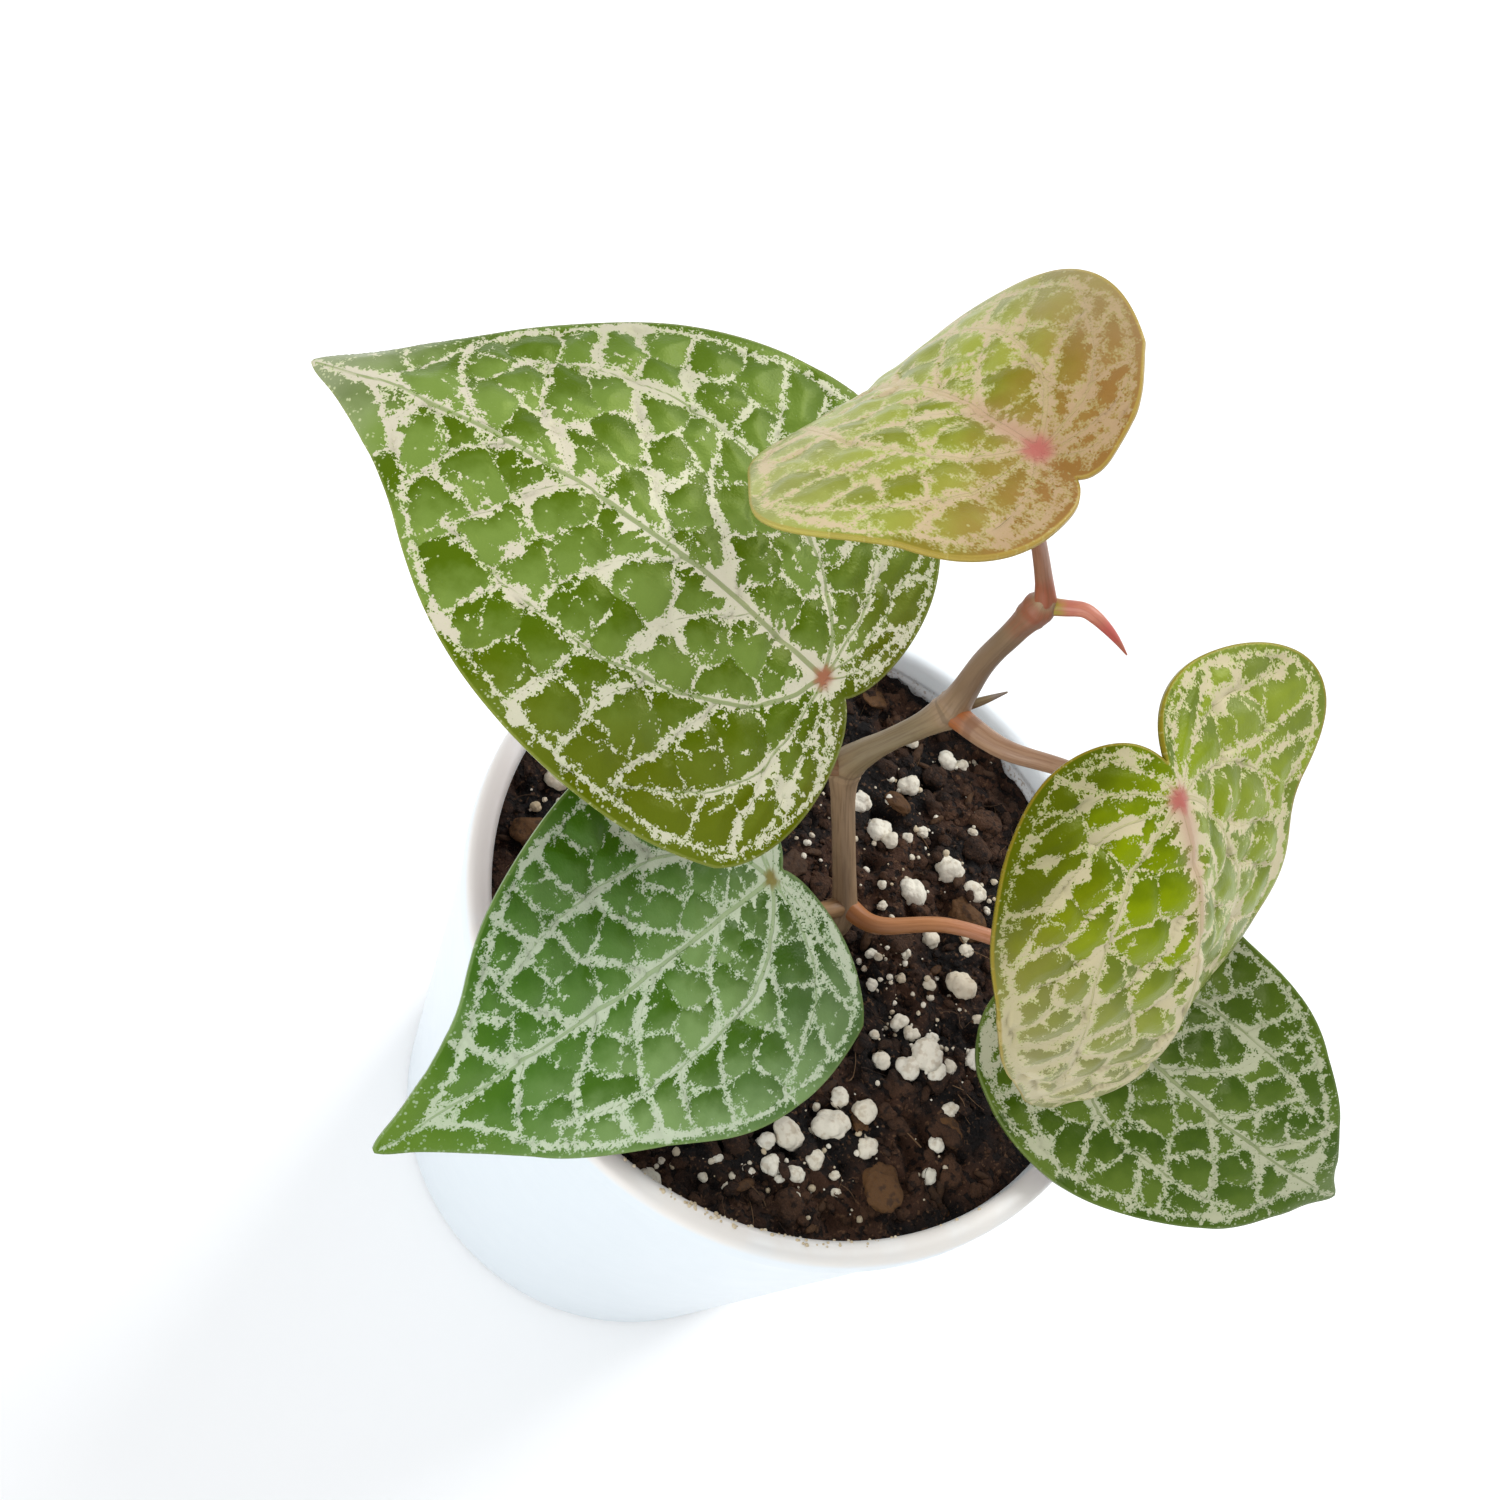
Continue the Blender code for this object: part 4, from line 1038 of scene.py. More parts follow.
class VeinNet:
    """Vein tree of one blade, the cells between its veins, and what the leaf's mesh needs of them."""

    NEAR = 4.5  # mm beyond which a vein no longer matters
    JOIN = 5.0  # how softly bands of silver merge where they meet, per mm
    STEP = 0.5  # mm between the places at which cells are told apart
    VEIN_ROOM = 0.36  # mm beside a vein that belong to no cell at first
    CLOSING = 6  # steps by which the cells then grow together
    EVENING = 12  # rounds that even out the cells' sizes

    def __init__(self, shape: BladeShape, seed: int) -> None:
        """Lay out the veins and the cells.

        Args:
            shape: outline of the blade.
            seed: of the random draws.
        """
        self.shape = shape
        self.seed = seed
        self.chance = np.random.default_rng(seed)
        forward, upward = np.array(shape.form.forward), np.array(shape.form.upward)
        self.sheen_way = unit((forward @ SHEEN_SIDE, np.cross(upward, forward) @ SHEEN_SIDE))
        self.veins: list[Vein] = []
        self.lay_veins()
        self.lay_cells()

    def wander(self, points: Sequence, amount: float, step: float = 0.7) -> Array:
        """Smooth a vein's course and let it wander a little.

        Args:
            points: the course's flat knots.
            amount: how far it strays.
            step: distance between its new points.

        Returns:
            The new points.
        """
        course = smooth_route(points, step)
        lattice = Lattice(int(self.chance.integers(1 << 30)))
        travel = np.arange(len(course)) * step
        fade = np.clip(travel / 3.0, 0, 1)
        course[:, 0] += amount * fade * (2 * lattice(travel / 4.0, travel * 0) - 1)
        course[:, 1] += amount * fade * (2 * lattice(travel / 4.0, travel * 0 + 9.5) - 1)
        return course

    def loop(self, side: int) -> Array:
        """Looping vein a little inside one half's edge, from near the tip to the notch.

        Args:
            side: 1 for the left half, -1 for the right.

        Returns:
            Its flat points.
        """
        angle = np.linspace(0.0, 164.0, 90)
        edge = self.shape.flat(side * angle, 1.0)
        radius = norm(edge, axis=1)
        scallop = 1.0 * Lattice(self.seed + 9)(angle / 9.0, 0 * angle + side * 3.3 + 10)
        share = 1 - (MARGIN_INSET + scallop) / radius
        share = np.where(angle < 12, 0.88 + (share - 0.88) * angle / 12, share)
        return self.shape.flat(side * angle, share)

    def branch(
        self, origin: Array, way: tuple, targets: Array, silver: tuple, line: tuple, bow: float,
    ) -> None:
        """Add a vein from a point to where another vein lies in a direction.

        Args:
            origin: where it leaves.
            way: the direction.
            targets: points of the other vein.
            silver: half widths of its silver.
            line: half widths of its thin line.
            bow: how far its middle bends aside, as a share of its length.
        """
        offset = targets - origin
        distance = norm(offset, axis=1)
        aim = offset @ unit(way) / np.maximum(distance, 1e-6)
        end = targets[np.argmax(aim - 0.003 * distance - (distance < 1.5))]
        across = np.array((-(end - origin)[1], (end - origin)[0]))
        middle = (origin + end) / 2 + bow * across
        self.veins.append(Vein(self.wander((origin, middle, end), 0.6), silver, line))

    def lay_veins(self) -> None:
        """Midrib, two pairs of laterals, the lobes' veins, their branches and the looping margin."""
        shape = self.shape
        tip = shape.flat(0.0, 0.985)
        midrib = self.wander((np.zeros(2), tip * 0.3, tip * 0.65, tip), 0.25)
        self.veins.append(Vein(midrib, (0.6, 0.22), (0.3, 0.1)))
        for side in (1, -1):
            loop = self.loop(side)
            main = []
            for plan, silver, line in (
                (INNER_LATERAL, (0.42, 0.3), (0.24, 0.05)),
                (OUTER_LATERAL, (0.36, 0.28), (0.16, 0.05)),
                (LOBE_FRONT, (0.26, 0.2), (0.12, 0.04)),
                (LOBE_BACK, (0.22, 0.18), (0.1, 0.04)),
            ):
                knots = [np.zeros(2)] + [shape.flat(side * a, s) for a, s in plan]
                course = self.wander(knots, 0.35)
                main.append(course)
                self.veins.append(Vein(course, silver, line))
            inner, outer, front, back = main
            for station in MIDRIB_STATIONS:
                spot = station + self.chance.uniform(-0.025, 0.025) + (0.03 if side < 0 else 0.0)
                origin = midrib[int(spot * (len(midrib) - 1))]
                targets = inner[len(inner) // 5:] if station < 0.55 else loop[:34]
                self.branch(origin, (0.62, side * 0.78), targets, (0.28, 0.3), (0.06, 0.03), side * -0.09)
            for station in LATERAL_STATIONS:
                spot = station + self.chance.uniform(-0.05, 0.05)
                origin = inner[int(spot * (len(inner) - 1))]
                targets = outer[len(outer) // 4:] if station < 0.3 else loop[6:60]
                self.branch(origin, (0.35, side * 0.94), targets, (0.28, 0.28), (0.06, 0.03), side * -0.06)
            for course, station, way, targets, silver, line, bow in (
                (outer, 0.38, (-0.1, side * 1.0), loop[20:70], 0.26, (0.05, 0.02), side * -0.05),
                (outer, 0.68, (-0.1, side * 1.0), loop[20:70], 0.26, (0.05, 0.02), side * -0.05),
                (front, 0.35, (-0.6, side * 0.8), loop[40:], 0.25, (0.05, 0.02), 0.05),
                (front, 0.7, (-0.6, side * 0.8), loop[40:], 0.25, (0.05, 0.02), 0.05),
                (back, 0.5, (-1.0, side * 0.2), loop[60:], 0.24, (0.03, 0.01), 0.0),
            ):
                origin = course[int(station * (len(course) - 1))]
                self.branch(origin, way, targets, (silver, silver), line, bow)
            self.veins.append(Vein(loop, (0.25, 0.2), (-1.0, -1.0)))

    def near(self, vein: Vein, spots: Array) -> Array:
        """Numbers of the points close enough to a vein to matter."""
        low, high = vein.points.min(0) - self.NEAR, vein.points.max(0) + self.NEAR
        return np.nonzero(((spots > low) & (spots < high)).all(axis=1))[0]

    def main_distance(self, spots: Array) -> Array:
        """Distance to the closest vein of the tree.

        Args:
            spots: flat points.

        Returns:
            Millimetres, capped where no vein is near.
        """
        closest = np.full(len(spots), self.NEAR)
        for vein in self.veins:
            rows = self.near(vein, spots)
            if len(rows):
                closest[rows] = np.minimum(closest[rows], vein.measure(spots[rows])[0])
        return closest

    def lay_cells(self) -> None:
        """Split the blade between its veins into cells of even size."""
        step = self.STEP
        outline = self.shape.flat(np.linspace(-180, 180, 721), 1.0)
        self.low = outline.min(0) - 1.0
        count = np.ceil((outline.max(0) + 1.0 - self.low) / step).astype(int)
        columns, rows = np.meshgrid(np.arange(count[0]), np.arange(count[1]), indexing="ij")
        spots = self.low + np.stack((columns, rows), axis=-1) * step
        inside = self.shape.share(spots) < 1.0
        room = self.main_distance(spots.reshape(-1, 2)).reshape(inside.shape)
        open_ground = inside & (room > self.VEIN_ROOM)
        labels = np.where(open_ground, np.arange(inside.size).reshape(inside.shape) + 1, 0)
        while True:
            grown = np.where(open_ground, self.highest_neighbour(labels), 0)
            if (grown == labels).all():
                break
            labels = grown
        for _ in range(self.CLOSING):
            labels = np.where(labels == 0, self.highest_neighbour(labels), labels)
        self.labels = labels
        self.seeds = {}
        for label in np.unique(labels[inside]):
            ground = spots[(labels == label) & inside]
            wanted = max(1, round(len(ground) * step * step / self.shape.form.cell_area))
            seeds = ground[self.chance.choice(len(ground), min(wanted, len(ground)), replace=False)]
            for _ in range(self.EVENING):
                owner = norm(ground[:, None] - seeds[None], axis=-1).argmin(axis=1)
                seeds = np.array([
                    ground[owner == k].mean(axis=0) if (owner == k).any() else seed
                    for k, seed in enumerate(seeds)
                ])
            self.seeds[int(label)] = seeds

    @staticmethod
    def highest_neighbour(labels: Array) -> Array:
        """Highest label among each place and its four neighbours.

        Args:
            labels: a grid of whole numbers.

        Returns:
            The grid of the highest ones.
        """
        grown = labels.copy()
        grown[1:] = np.maximum(grown[1:], labels[:-1])
        grown[:-1] = np.maximum(grown[:-1], labels[1:])
        grown[:, 1:] = np.maximum(grown[:, 1:], labels[:, :-1])
        grown[:, :-1] = np.maximum(grown[:, :-1], labels[:, 1:])
        return grown

    def cell_borders(self, spots: Array) -> tuple[Array, Array, Array, Array]:
        """How points lie in their cells.

        Args:
            spots: flat points.

        Returns:
            Distance to the cell's border, that border's strength, the cell's shade and the way from
            its middle.
        """
        index = np.round((spots - self.low) / self.STEP).astype(int)
        index = np.clip(index, 0, np.array(self.labels.shape) - 1)
        labels = self.labels[index[:, 0], index[:, 1]]
        lattice = Lattice(self.seed + 5)
        x, y = spots[:, 0] / 2.0, spots[:, 1] / 2.0
        shift = np.stack((lattice(x, y), lattice(y + 31, x)), axis=-1)
        moved = spots + 1.3 * (shift - 0.5)
        border = np.full(len(spots), self.NEAR)
        strength = np.zeros(len(spots))
        shade = np.zeros(len(spots))
        off = np.zeros((len(spots), 2))
        for label, seeds in self.seeds.items():
            rows = np.nonzero(labels == label)[0]
            if not len(rows):
                continue
            tones = np.random.default_rng(self.seed * 7 + label).random((len(seeds), len(seeds)))
            tones = (tones + tones.T) / 2
            square = ((moved[rows, None] - seeds[None]) ** 2).sum(-1)
            each, first = np.arange(len(rows)), square.argmin(axis=1)
            shade[rows] = tones[first, first]
            off[rows] = spots[rows] - seeds[first]
            if len(seeds) == 1:
                continue
            apart = norm(seeds[first][:, None] - seeds[None], axis=-1)
            gap = (square - square[each, first][:, None]) / (2 * np.maximum(apart, 1e-6))
            gap[each, first] = np.inf
            second = gap.argmin(axis=1)
            border[rows] = gap[each, second]
            strength[rows] = tones[first, second]
        return border, strength, shade, off

    def fine_lines(self, spots: Array, spacing: float) -> Array:
        """Distance to the faint lines that part a cell again.

        Args:
            spots: flat points.
            spacing: rough distance between the lines.

        Returns:
            The distances.
        """
        scaled = spots / spacing
        base = np.floor(scaled).astype(int)
        table = np.random.default_rng(self.seed + 77).random((64, 64, 2))
        seeds = []
        for dx in (-1, 0, 1):
            for dy in (-1, 0, 1):
                cell = base + (dx, dy)
                seeds.append(cell + table[cell[:, 0] % 64, cell[:, 1] % 64])
        seeds = np.stack(seeds, axis=1)
        square = ((scaled[:, None] - seeds) ** 2).sum(-1)
        first = square.argmin(axis=1)
        rows = np.arange(len(spots))
        apart = norm(seeds[rows, first][:, None] - seeds, axis=-1)
        gap = (square - square[rows, first][:, None]) / (2 * np.maximum(apart, 1e-6))
        gap[rows, first] = np.inf
        return gap.min(axis=1) * spacing

    def fields(self, spots: Array) -> dict[str, Array]:
        """What the mesh and its finish need at flat points.

        Args:
            spots: flat points.

        Returns:
            silver: how far inside the silver net a point lies, in mm, negative outside it.
            line: the same for the thin lines along the main veins.
            relief: height of the pillowed cell, from 0 in its grooves to about 1.
            tone: shade of the cell from 0 to 1: its random shade, with a painted sheen paler on the
                SHEEN_SIDE.
            blush: strength of the flush along the midrib's lower part.
            share: how far out the point lies, from 0 at the junction to 1 at the edge.
        """
        patch = Lattice(self.seed + 1)
        rough = Lattice(self.seed + 2)
        x, y = spots[:, 0], spots[:, 1]
        fray = rough(x / 0.85 + 20, y / 0.85) + 0.6 * rough(x / 0.38, y / 0.38 + 5)
        blotch = patch(x / 2.9 + 40, y / 2.9 + 40) + 0.22 * (fray - 0.8)
        blotch = np.clip(blotch - 0.62, 0, None) * self.shape.form.blotch
        heavy = np.zeros(len(spots))
        line = np.full(len(spots), -self.NEAR)
        main = np.full(len(spots), self.NEAR)
        blush = np.zeros(len(spots))
        for number, vein in enumerate(self.veins):
            rows = self.near(vein, spots)
            if not len(rows):
                continue
            distance, arc, side, share = vein.measure(spots[rows])
            lane = number * 7.3 + side * 2.1
            slow = rough(arc / 2.4, lane)
            spike = np.clip(rough(arc / 0.42 + 50, lane) - 0.5, 0, None)
            half = vein.silver[0] + (vein.silver[1] - vein.silver[0]) * share
            comb = np.clip(rough((arc - 0.6 * distance) / 0.45 + 90, lane) - 0.52, 0, None) * (1 - share)
            half = half * (0.3 + 0.62 * slow + 1.0 * slow ** 4) + 1.9 * spike * half + blotch[rows]
            half = half + (4.0 if number == 0 else 1.2) * comb
            heavy[rows] += np.exp(self.JOIN * (half - distance)) * (distance < self.NEAR)
            width = vein.line[0] + (vein.line[1] - vein.line[0]) * share
            line[rows] = np.maximum(line[rows], width - distance)
            main[rows] = np.minimum(main[rows], distance)
            if number == 0:
                fade = np.clip(1 - share / 0.42, 0, 1) ** 0.8
                blush[rows] = np.exp(-(distance / (0.5 + 0.8 * fade)) ** 2) * fade
        border, strength, shade, off = self.cell_borders(spots)
        thin = -0.03 + 0.24 * strength ** 1.5 + 0.3 * (rough(x / 1.1, y / 1.1) - 0.5) + 0.7 * blotch
        heavy += np.exp(self.JOIN * (thin - border))
        faint = self.fine_lines(spots, 3.1)
        present = patch(x / 1.7 + 11, y / 1.7 + 7)
        heavy += np.exp(self.JOIN * (0.04 - faint - 1.8 * np.clip(0.72 - present, 0, None)))
        # Painted sheen: each cell is paler on the side that SHEEN_SIDE gives, over its random shade.
        shade = np.clip(0.5 + 0.17 * (off @ self.sheen_way) + 0.5 * (shade - 0.5), 0, 1)
        silver = np.log(np.maximum(heavy, 1e-6)) / self.JOIN
        relief = 0.55 * (1 - np.exp(-(main / 1.8) ** 2)) + 0.45 * (1 - np.exp(-(border / 1.3) ** 2))
        names = ("silver", "line", "relief", "tone", "blush", "share")
        return dict(zip(names, (silver, line, relief, shade, blush, self.shape.share(spots))))


def only(item: Mesh) -> None:
    """Select one object alone and make it active.

    Args:
        item: the object.
    """
    bpy.ops.object.select_all(action="DESELECT")
    item.select_set(True)
    bpy.context.view_layer.objects.active = item


def read_points(item: Mesh) -> Array:
    """Places of a mesh's points.

    Args:
        item: the mesh object.

    Returns:
        A row of x, y and z per point.
    """
    points = np.empty(len(item.data.vertices) * 3, dtype=np.float32)
    item.data.vertices.foreach_get("co", points)
    return points.reshape(-1, 3).astype(float)


def write_points(item: Mesh, points: Array) -> None:
    """Move a mesh's points to new places, with a row of x, y and z for each."""
    item.data.vertices.foreach_set("co", np.ascontiguousarray(points, dtype=np.float32).ravel())
    item.data.update()


def write_values(item: Mesh, name: str, values: Array) -> None:
    """Store a number or a vector for each point of a mesh.

    Args:
        item: the mesh object.
        name: of the new attribute.
        values: one per point.
    """
    kind, key = ("FLOAT", "value") if values.ndim == 1 else ("FLOAT_VECTOR", "vector")
    made = item.data.attributes.new(name, kind, "POINT")
    made.data.foreach_set(key, np.ascontiguousarray(values, dtype=np.float32).ravel())


def apply_modifier(item: Mesh, kind: str, **settings: object) -> None:
    """Add one modifier and apply it.

    Args:
        item: the mesh object.
        kind: the modifier's type.
        settings: its own options.
    """
    only(item)
    change = item.modifiers.new("change", kind)
    for option, value in settings.items():
        setattr(change, option, value)
    bpy.ops.object.modifier_apply(modifier=change.name)


def tidy_mesh(item: Mesh, merge: float) -> None:
    """Merge doubled points, then turn every face outwards.

    Args:
        item: the mesh object.
        merge: distance below which points count as doubled.
    """
    only(item)
    bpy.ops.object.mode_set(mode="EDIT")
    bpy.ops.mesh.select_all(action="SELECT")
    bpy.ops.mesh.remove_doubles(threshold=merge)
    bpy.ops.mesh.normals_make_consistent(inside=False)
    bpy.ops.object.mode_set(mode="OBJECT")


def grid(columns: int, rows: int) -> tuple[Mesh, Array, Array]:
    """Add a flat grid.

    Args:
        columns: number of its steps along X.
        rows: and along Y.

    Returns:
        The grid, and the column and the row of each of its points.
    """
    bpy.ops.object.select_all(action="DESELECT")
    bpy.ops.mesh.primitive_grid_add(x_subdivisions=columns, y_subdivisions=rows, size=2.0)
    item = bpy.context.object
    points = read_points(item)
    column = np.round((points[:, 0] + 1) / 2 * columns).astype(int)
    row = np.round((points[:, 1] + 1) / 2 * rows).astype(int)
    return item, column, row


def turned(profile: Array, steps: int) -> Array:
    """Turn a profile of radius and height around Z: places as rows, points around, xyz."""
    angle, radius = np.arange(steps) / steps * 2 * math.pi, profile[:, :1]
    return np.stack((radius * np.cos(angle), radius * np.sin(angle), profile[:, 1:] + 0 * angle), axis=-1)


def wrapped(name: str, rings: Array, strip: Array | None = None) -> Mesh:
    """Closed skin over rings of points.

    Args:
        name: the piece's name.
        rings: places in millimetres as rows, points around, xyz; the first and last ring close up.
        strip: coordinates for the finish, of the same form.

    Returns:
        The piece, in millimetres.
    """
    rows, around = rings.shape[:2]
    item, column, row = grid(around, rows - 1)
    write_points(item, rings[row, column % around])
    if strip is not None:
        write_values(item, "strip", strip[row, column % around])
    tidy_mesh(item, 1e-4)
    item.name = item.data.name = name
    return item


def settle(item: Mesh, finishes: Sequence, node: str, smooth: bool = True) -> None:
    """Turn a piece into metres, dress it and hang it in the frame.

    Args:
        item: the piece, in millimetres.
        finishes: its materials.
        node: the CAD node that it stands for.
        smooth: whether its faces are shaded smooth.
    """
    write_points(item, read_points(item) * MM)
    for finish in finishes:
        item.data.materials.append(finish)
    only(item)
    if smooth:
        bpy.ops.object.shade_smooth()
    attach(item, BODY)
    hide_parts(node)
    item.data.calc_loop_triangles()
    LOG.info("%-14s %7d triangles", item.name, len(item.data.loop_triangles))


@dataclass
class LeafBlade:
    """One leaf: a fine sheet cut to its outline, bent, pillowed between its veins and thickened."""

    form: BladeForm
    seed: int

    def cut_sheet(self, shape: BladeShape) -> tuple[Mesh, Array]:
        """Flat sheet with the leaf's outline.

        Args:
            shape: outline of the blade.

        Returns:
            The sheet and the outline's points.
        """
        outline = shape.flat(np.linspace(-180, 180, 5401)[:-1], 1.0)
        low, high = outline.min(0) - SHEET_STEP, outline.max(0) + SHEET_STEP
        count = np.ceil((high - low) / SHEET_STEP).astype(int)
        sheet, column, row = grid(int(count[0]), int(count[1]))
        spots = low + np.stack((column, row), axis=-1) / count * (high - low)
        share = shape.share(spots)
        beyond = norm(spots, axis=1) * (1 - 1 / np.maximum(share, 1e-6))
        write_points(sheet, np.column_stack((spots, np.zeros(len(spots)))))
        bpy.ops.object.mode_set(mode="EDIT")
        bpy.ops.mesh.select_mode(type="VERT")
        bpy.ops.mesh.select_all(action="DESELECT")
        bpy.ops.object.mode_set(mode="OBJECT")
        sheet.data.vertices.foreach_set("select", beyond > 0.45 * SHEET_STEP)
        bpy.ops.object.mode_set(mode="EDIT")
        bpy.ops.mesh.delete(type="VERT")
        bpy.ops.mesh.select_all(action="SELECT")
        bpy.ops.mesh.delete_loose(use_verts=True, use_edges=True, use_faces=False)
        bpy.ops.object.mode_set(mode="OBJECT")
        self.fit_edge(sheet, outline)
        return sheet, outline

    @staticmethod
    def fit_edge(sheet: Mesh, outline: Array) -> None:
        """Move the sheet's rim onto the outline.

        Args:
            sheet: the flat sheet.
            outline: points of the outline.
        """
        edges = np.empty(len(sheet.data.edges) * 2, dtype=np.int32)
        sheet.data.edges.foreach_get("vertices", edges)
        used = np.empty(len(sheet.data.loops), dtype=np.int32)
        sheet.data.loops.foreach_get("edge_index", used)
        rim = np.unique(edges.reshape(-1, 2)[np.bincount(used, minlength=len(sheet.data.edges)) == 1])
        points = read_points(sheet)
        away = norm(points[rim, None, :2] - outline[None], axis=-1)
        points[rim, :2] = outline[away.argmin(axis=1)]
        write_points(sheet, points)
        only(sheet)
        bpy.ops.object.mode_set(mode="EDIT")
        bpy.ops.mesh.select_all(action="SELECT")
        bpy.ops.mesh.dissolve_degenerate(threshold=0.01)
        bpy.ops.object.mode_set(mode="OBJECT")

    @staticmethod
    def edge_distance(spots: Array, share: Array, outline: Array) -> Array:
        """Distance to the outline, for points near it.

        Args:
            spots: flat points.
            share: how far out each lies, from 0 at the junction to 1 at the edge.
            outline: points of the outline.

        Returns:
            Millimetres, or a large number far inside.
        """
        distance = np.full(len(spots), 9.0)
        rows = np.nonzero(share > 0.6)[0]
        coarse = outline[::5]
        for part in np.array_split(rows, max(1, len(rows) // 4000)):
            distance[part] = norm(spots[part, None] - coarse[None], axis=-1).min(axis=1)
        return distance

    def build(self) -> None:
        """Make the leaf and hang it in the frame."""
        shape = BladeShape(self.form)
        sheet, outline = self.cut_sheet(shape)
        sheet.name = sheet.data.name = self.form.name.replace("leaf", "blade")
        spots = read_points(sheet)[:, :2]
        fields = VeinNet(shape, self.seed).fields(spots)
        edge = self.edge_distance(spots, fields["share"], outline)
        inward = np.clip(edge / 1.4, 0, 1)
        fields["silver"] = fields["silver"] + self.form.tint.silver_gain - 0.8 * np.clip(0.5 - edge, 0, None)
        write_values(sheet, "flat", np.column_stack((spots, np.zeros(len(spots)))))
        for key in ("silver", "line", "relief", "tone", "blush"):
            write_values(sheet, key, fields[key])
        write_values(sheet, "edge", edge)
        write_points(sheet, shape.bend(spots))
        normals = np.empty(len(spots) * 3, dtype=np.float32)
        sheet.data.vertices.foreach_get("normal", normals)
        height = self.form.pillow * (fields["relief"] - 0.45) * inward
        write_points(sheet, read_points(sheet) + normals.reshape(-1, 3) * height[:, None])
        name, tint = self.form.name, self.form.tint
        sheet.data.materials.append(LeafUpper(name + "_upper_skin", tint, self.form.length).build())
        sheet.data.materials.append(LeafUnder(name + "_lower_skin", tint).build())
        apply_modifier(
            sheet, "SOLIDIFY", thickness=LEAF_THICKNESS, offset=0.0, use_even_offset=False, material_offset=1,
        )
        settle(sheet, (), name)


@dataclass
class Tube:
    """Round stem of varying thickness along a smooth route, with rounded ends."""

    name: str
    route: tuple
    around: int
    step: float
    ribs: float = 0.0  # depth of its lengthwise ribs, as a share of the radius
    rings: tuple = ()  # places along it, in mm, of the scars that circle it
    knobbly: float = 0.0  # uneven swelling, as a share of the radius

    def skin(self) -> tuple[Array, Array]:
        """Work out the tube's surface.

        Returns:
            Rings of points, and the coordinates of the finish.
        """
        points = smooth_route(self.route, self.step)
        centre, radius = points[:, :3], points[:, 3]
        tangent = np.gradient(centre, axis=0)
        tangent /= norm(tangent, axis=1)[:, None]
        cap = np.linspace(0, math.pi / 2, 6)[1:]
        first = [centre[0] - tangent[0] * radius[0] * 0.8 * math.sin(a) for a in cap[::-1]]
        last = [centre[-1] + tangent[-1] * radius[-1] * 0.8 * math.sin(a) for a in cap]
        centre = np.vstack((first, centre, last))
        radius = np.concatenate((radius[0] * np.cos(cap[::-1]), radius, radius[-1] * np.cos(cap)))
        tangent = np.pad(tangent, ((len(cap), len(cap)), (0, 0)), mode="edge")
        side = np.empty_like(tangent)
        guide = np.cross(tangent[0], (0.3, 0.9, 0.2))
        for index, way in enumerate(tangent):
            guide = unit(guide - way * np.dot(guide, way))
            side[index] = guide
        other = np.cross(tangent, side)
        travel = np.concatenate(([0.0], np.cumsum(norm(np.diff(centre, axis=0), axis=1))))
        travel = travel[:, None]
        angle = np.arange(self.around) / self.around * 2 * math.pi
        cos, sin = np.cos(angle)[None], np.sin(angle)[None]
        swell = 1 + self.ribs * np.cos(5 * angle[None] + 0.05 * travel)
        bumps = Lattice(len(self.name) * 13 + 3)(2.5 + 2.2 * cos + travel / 3.4, 9 + 2.2 * sin + travel * 0)
        swell = swell + self.knobbly * 2 * (bumps - 0.5)
        for ring in self.rings:
            swell = swell + 0.055 * np.exp(-((travel - ring) / 0.3) ** 2)
        spread = radius[:, None] * swell
        around = cos[..., None] * side[:, None] + sin[..., None] * other[:, None]
        strip = (radius.max() * cos, radius.max() * sin, travel)
        strip = np.stack([values + 0 * spread for values in strip], axis=-1)
        return centre[:, None] + around * spread[..., None], strip

    def build(self) -> Mesh:
        """Make the tube, in millimetres."""
        return wrapped(self.name, *self.skin())


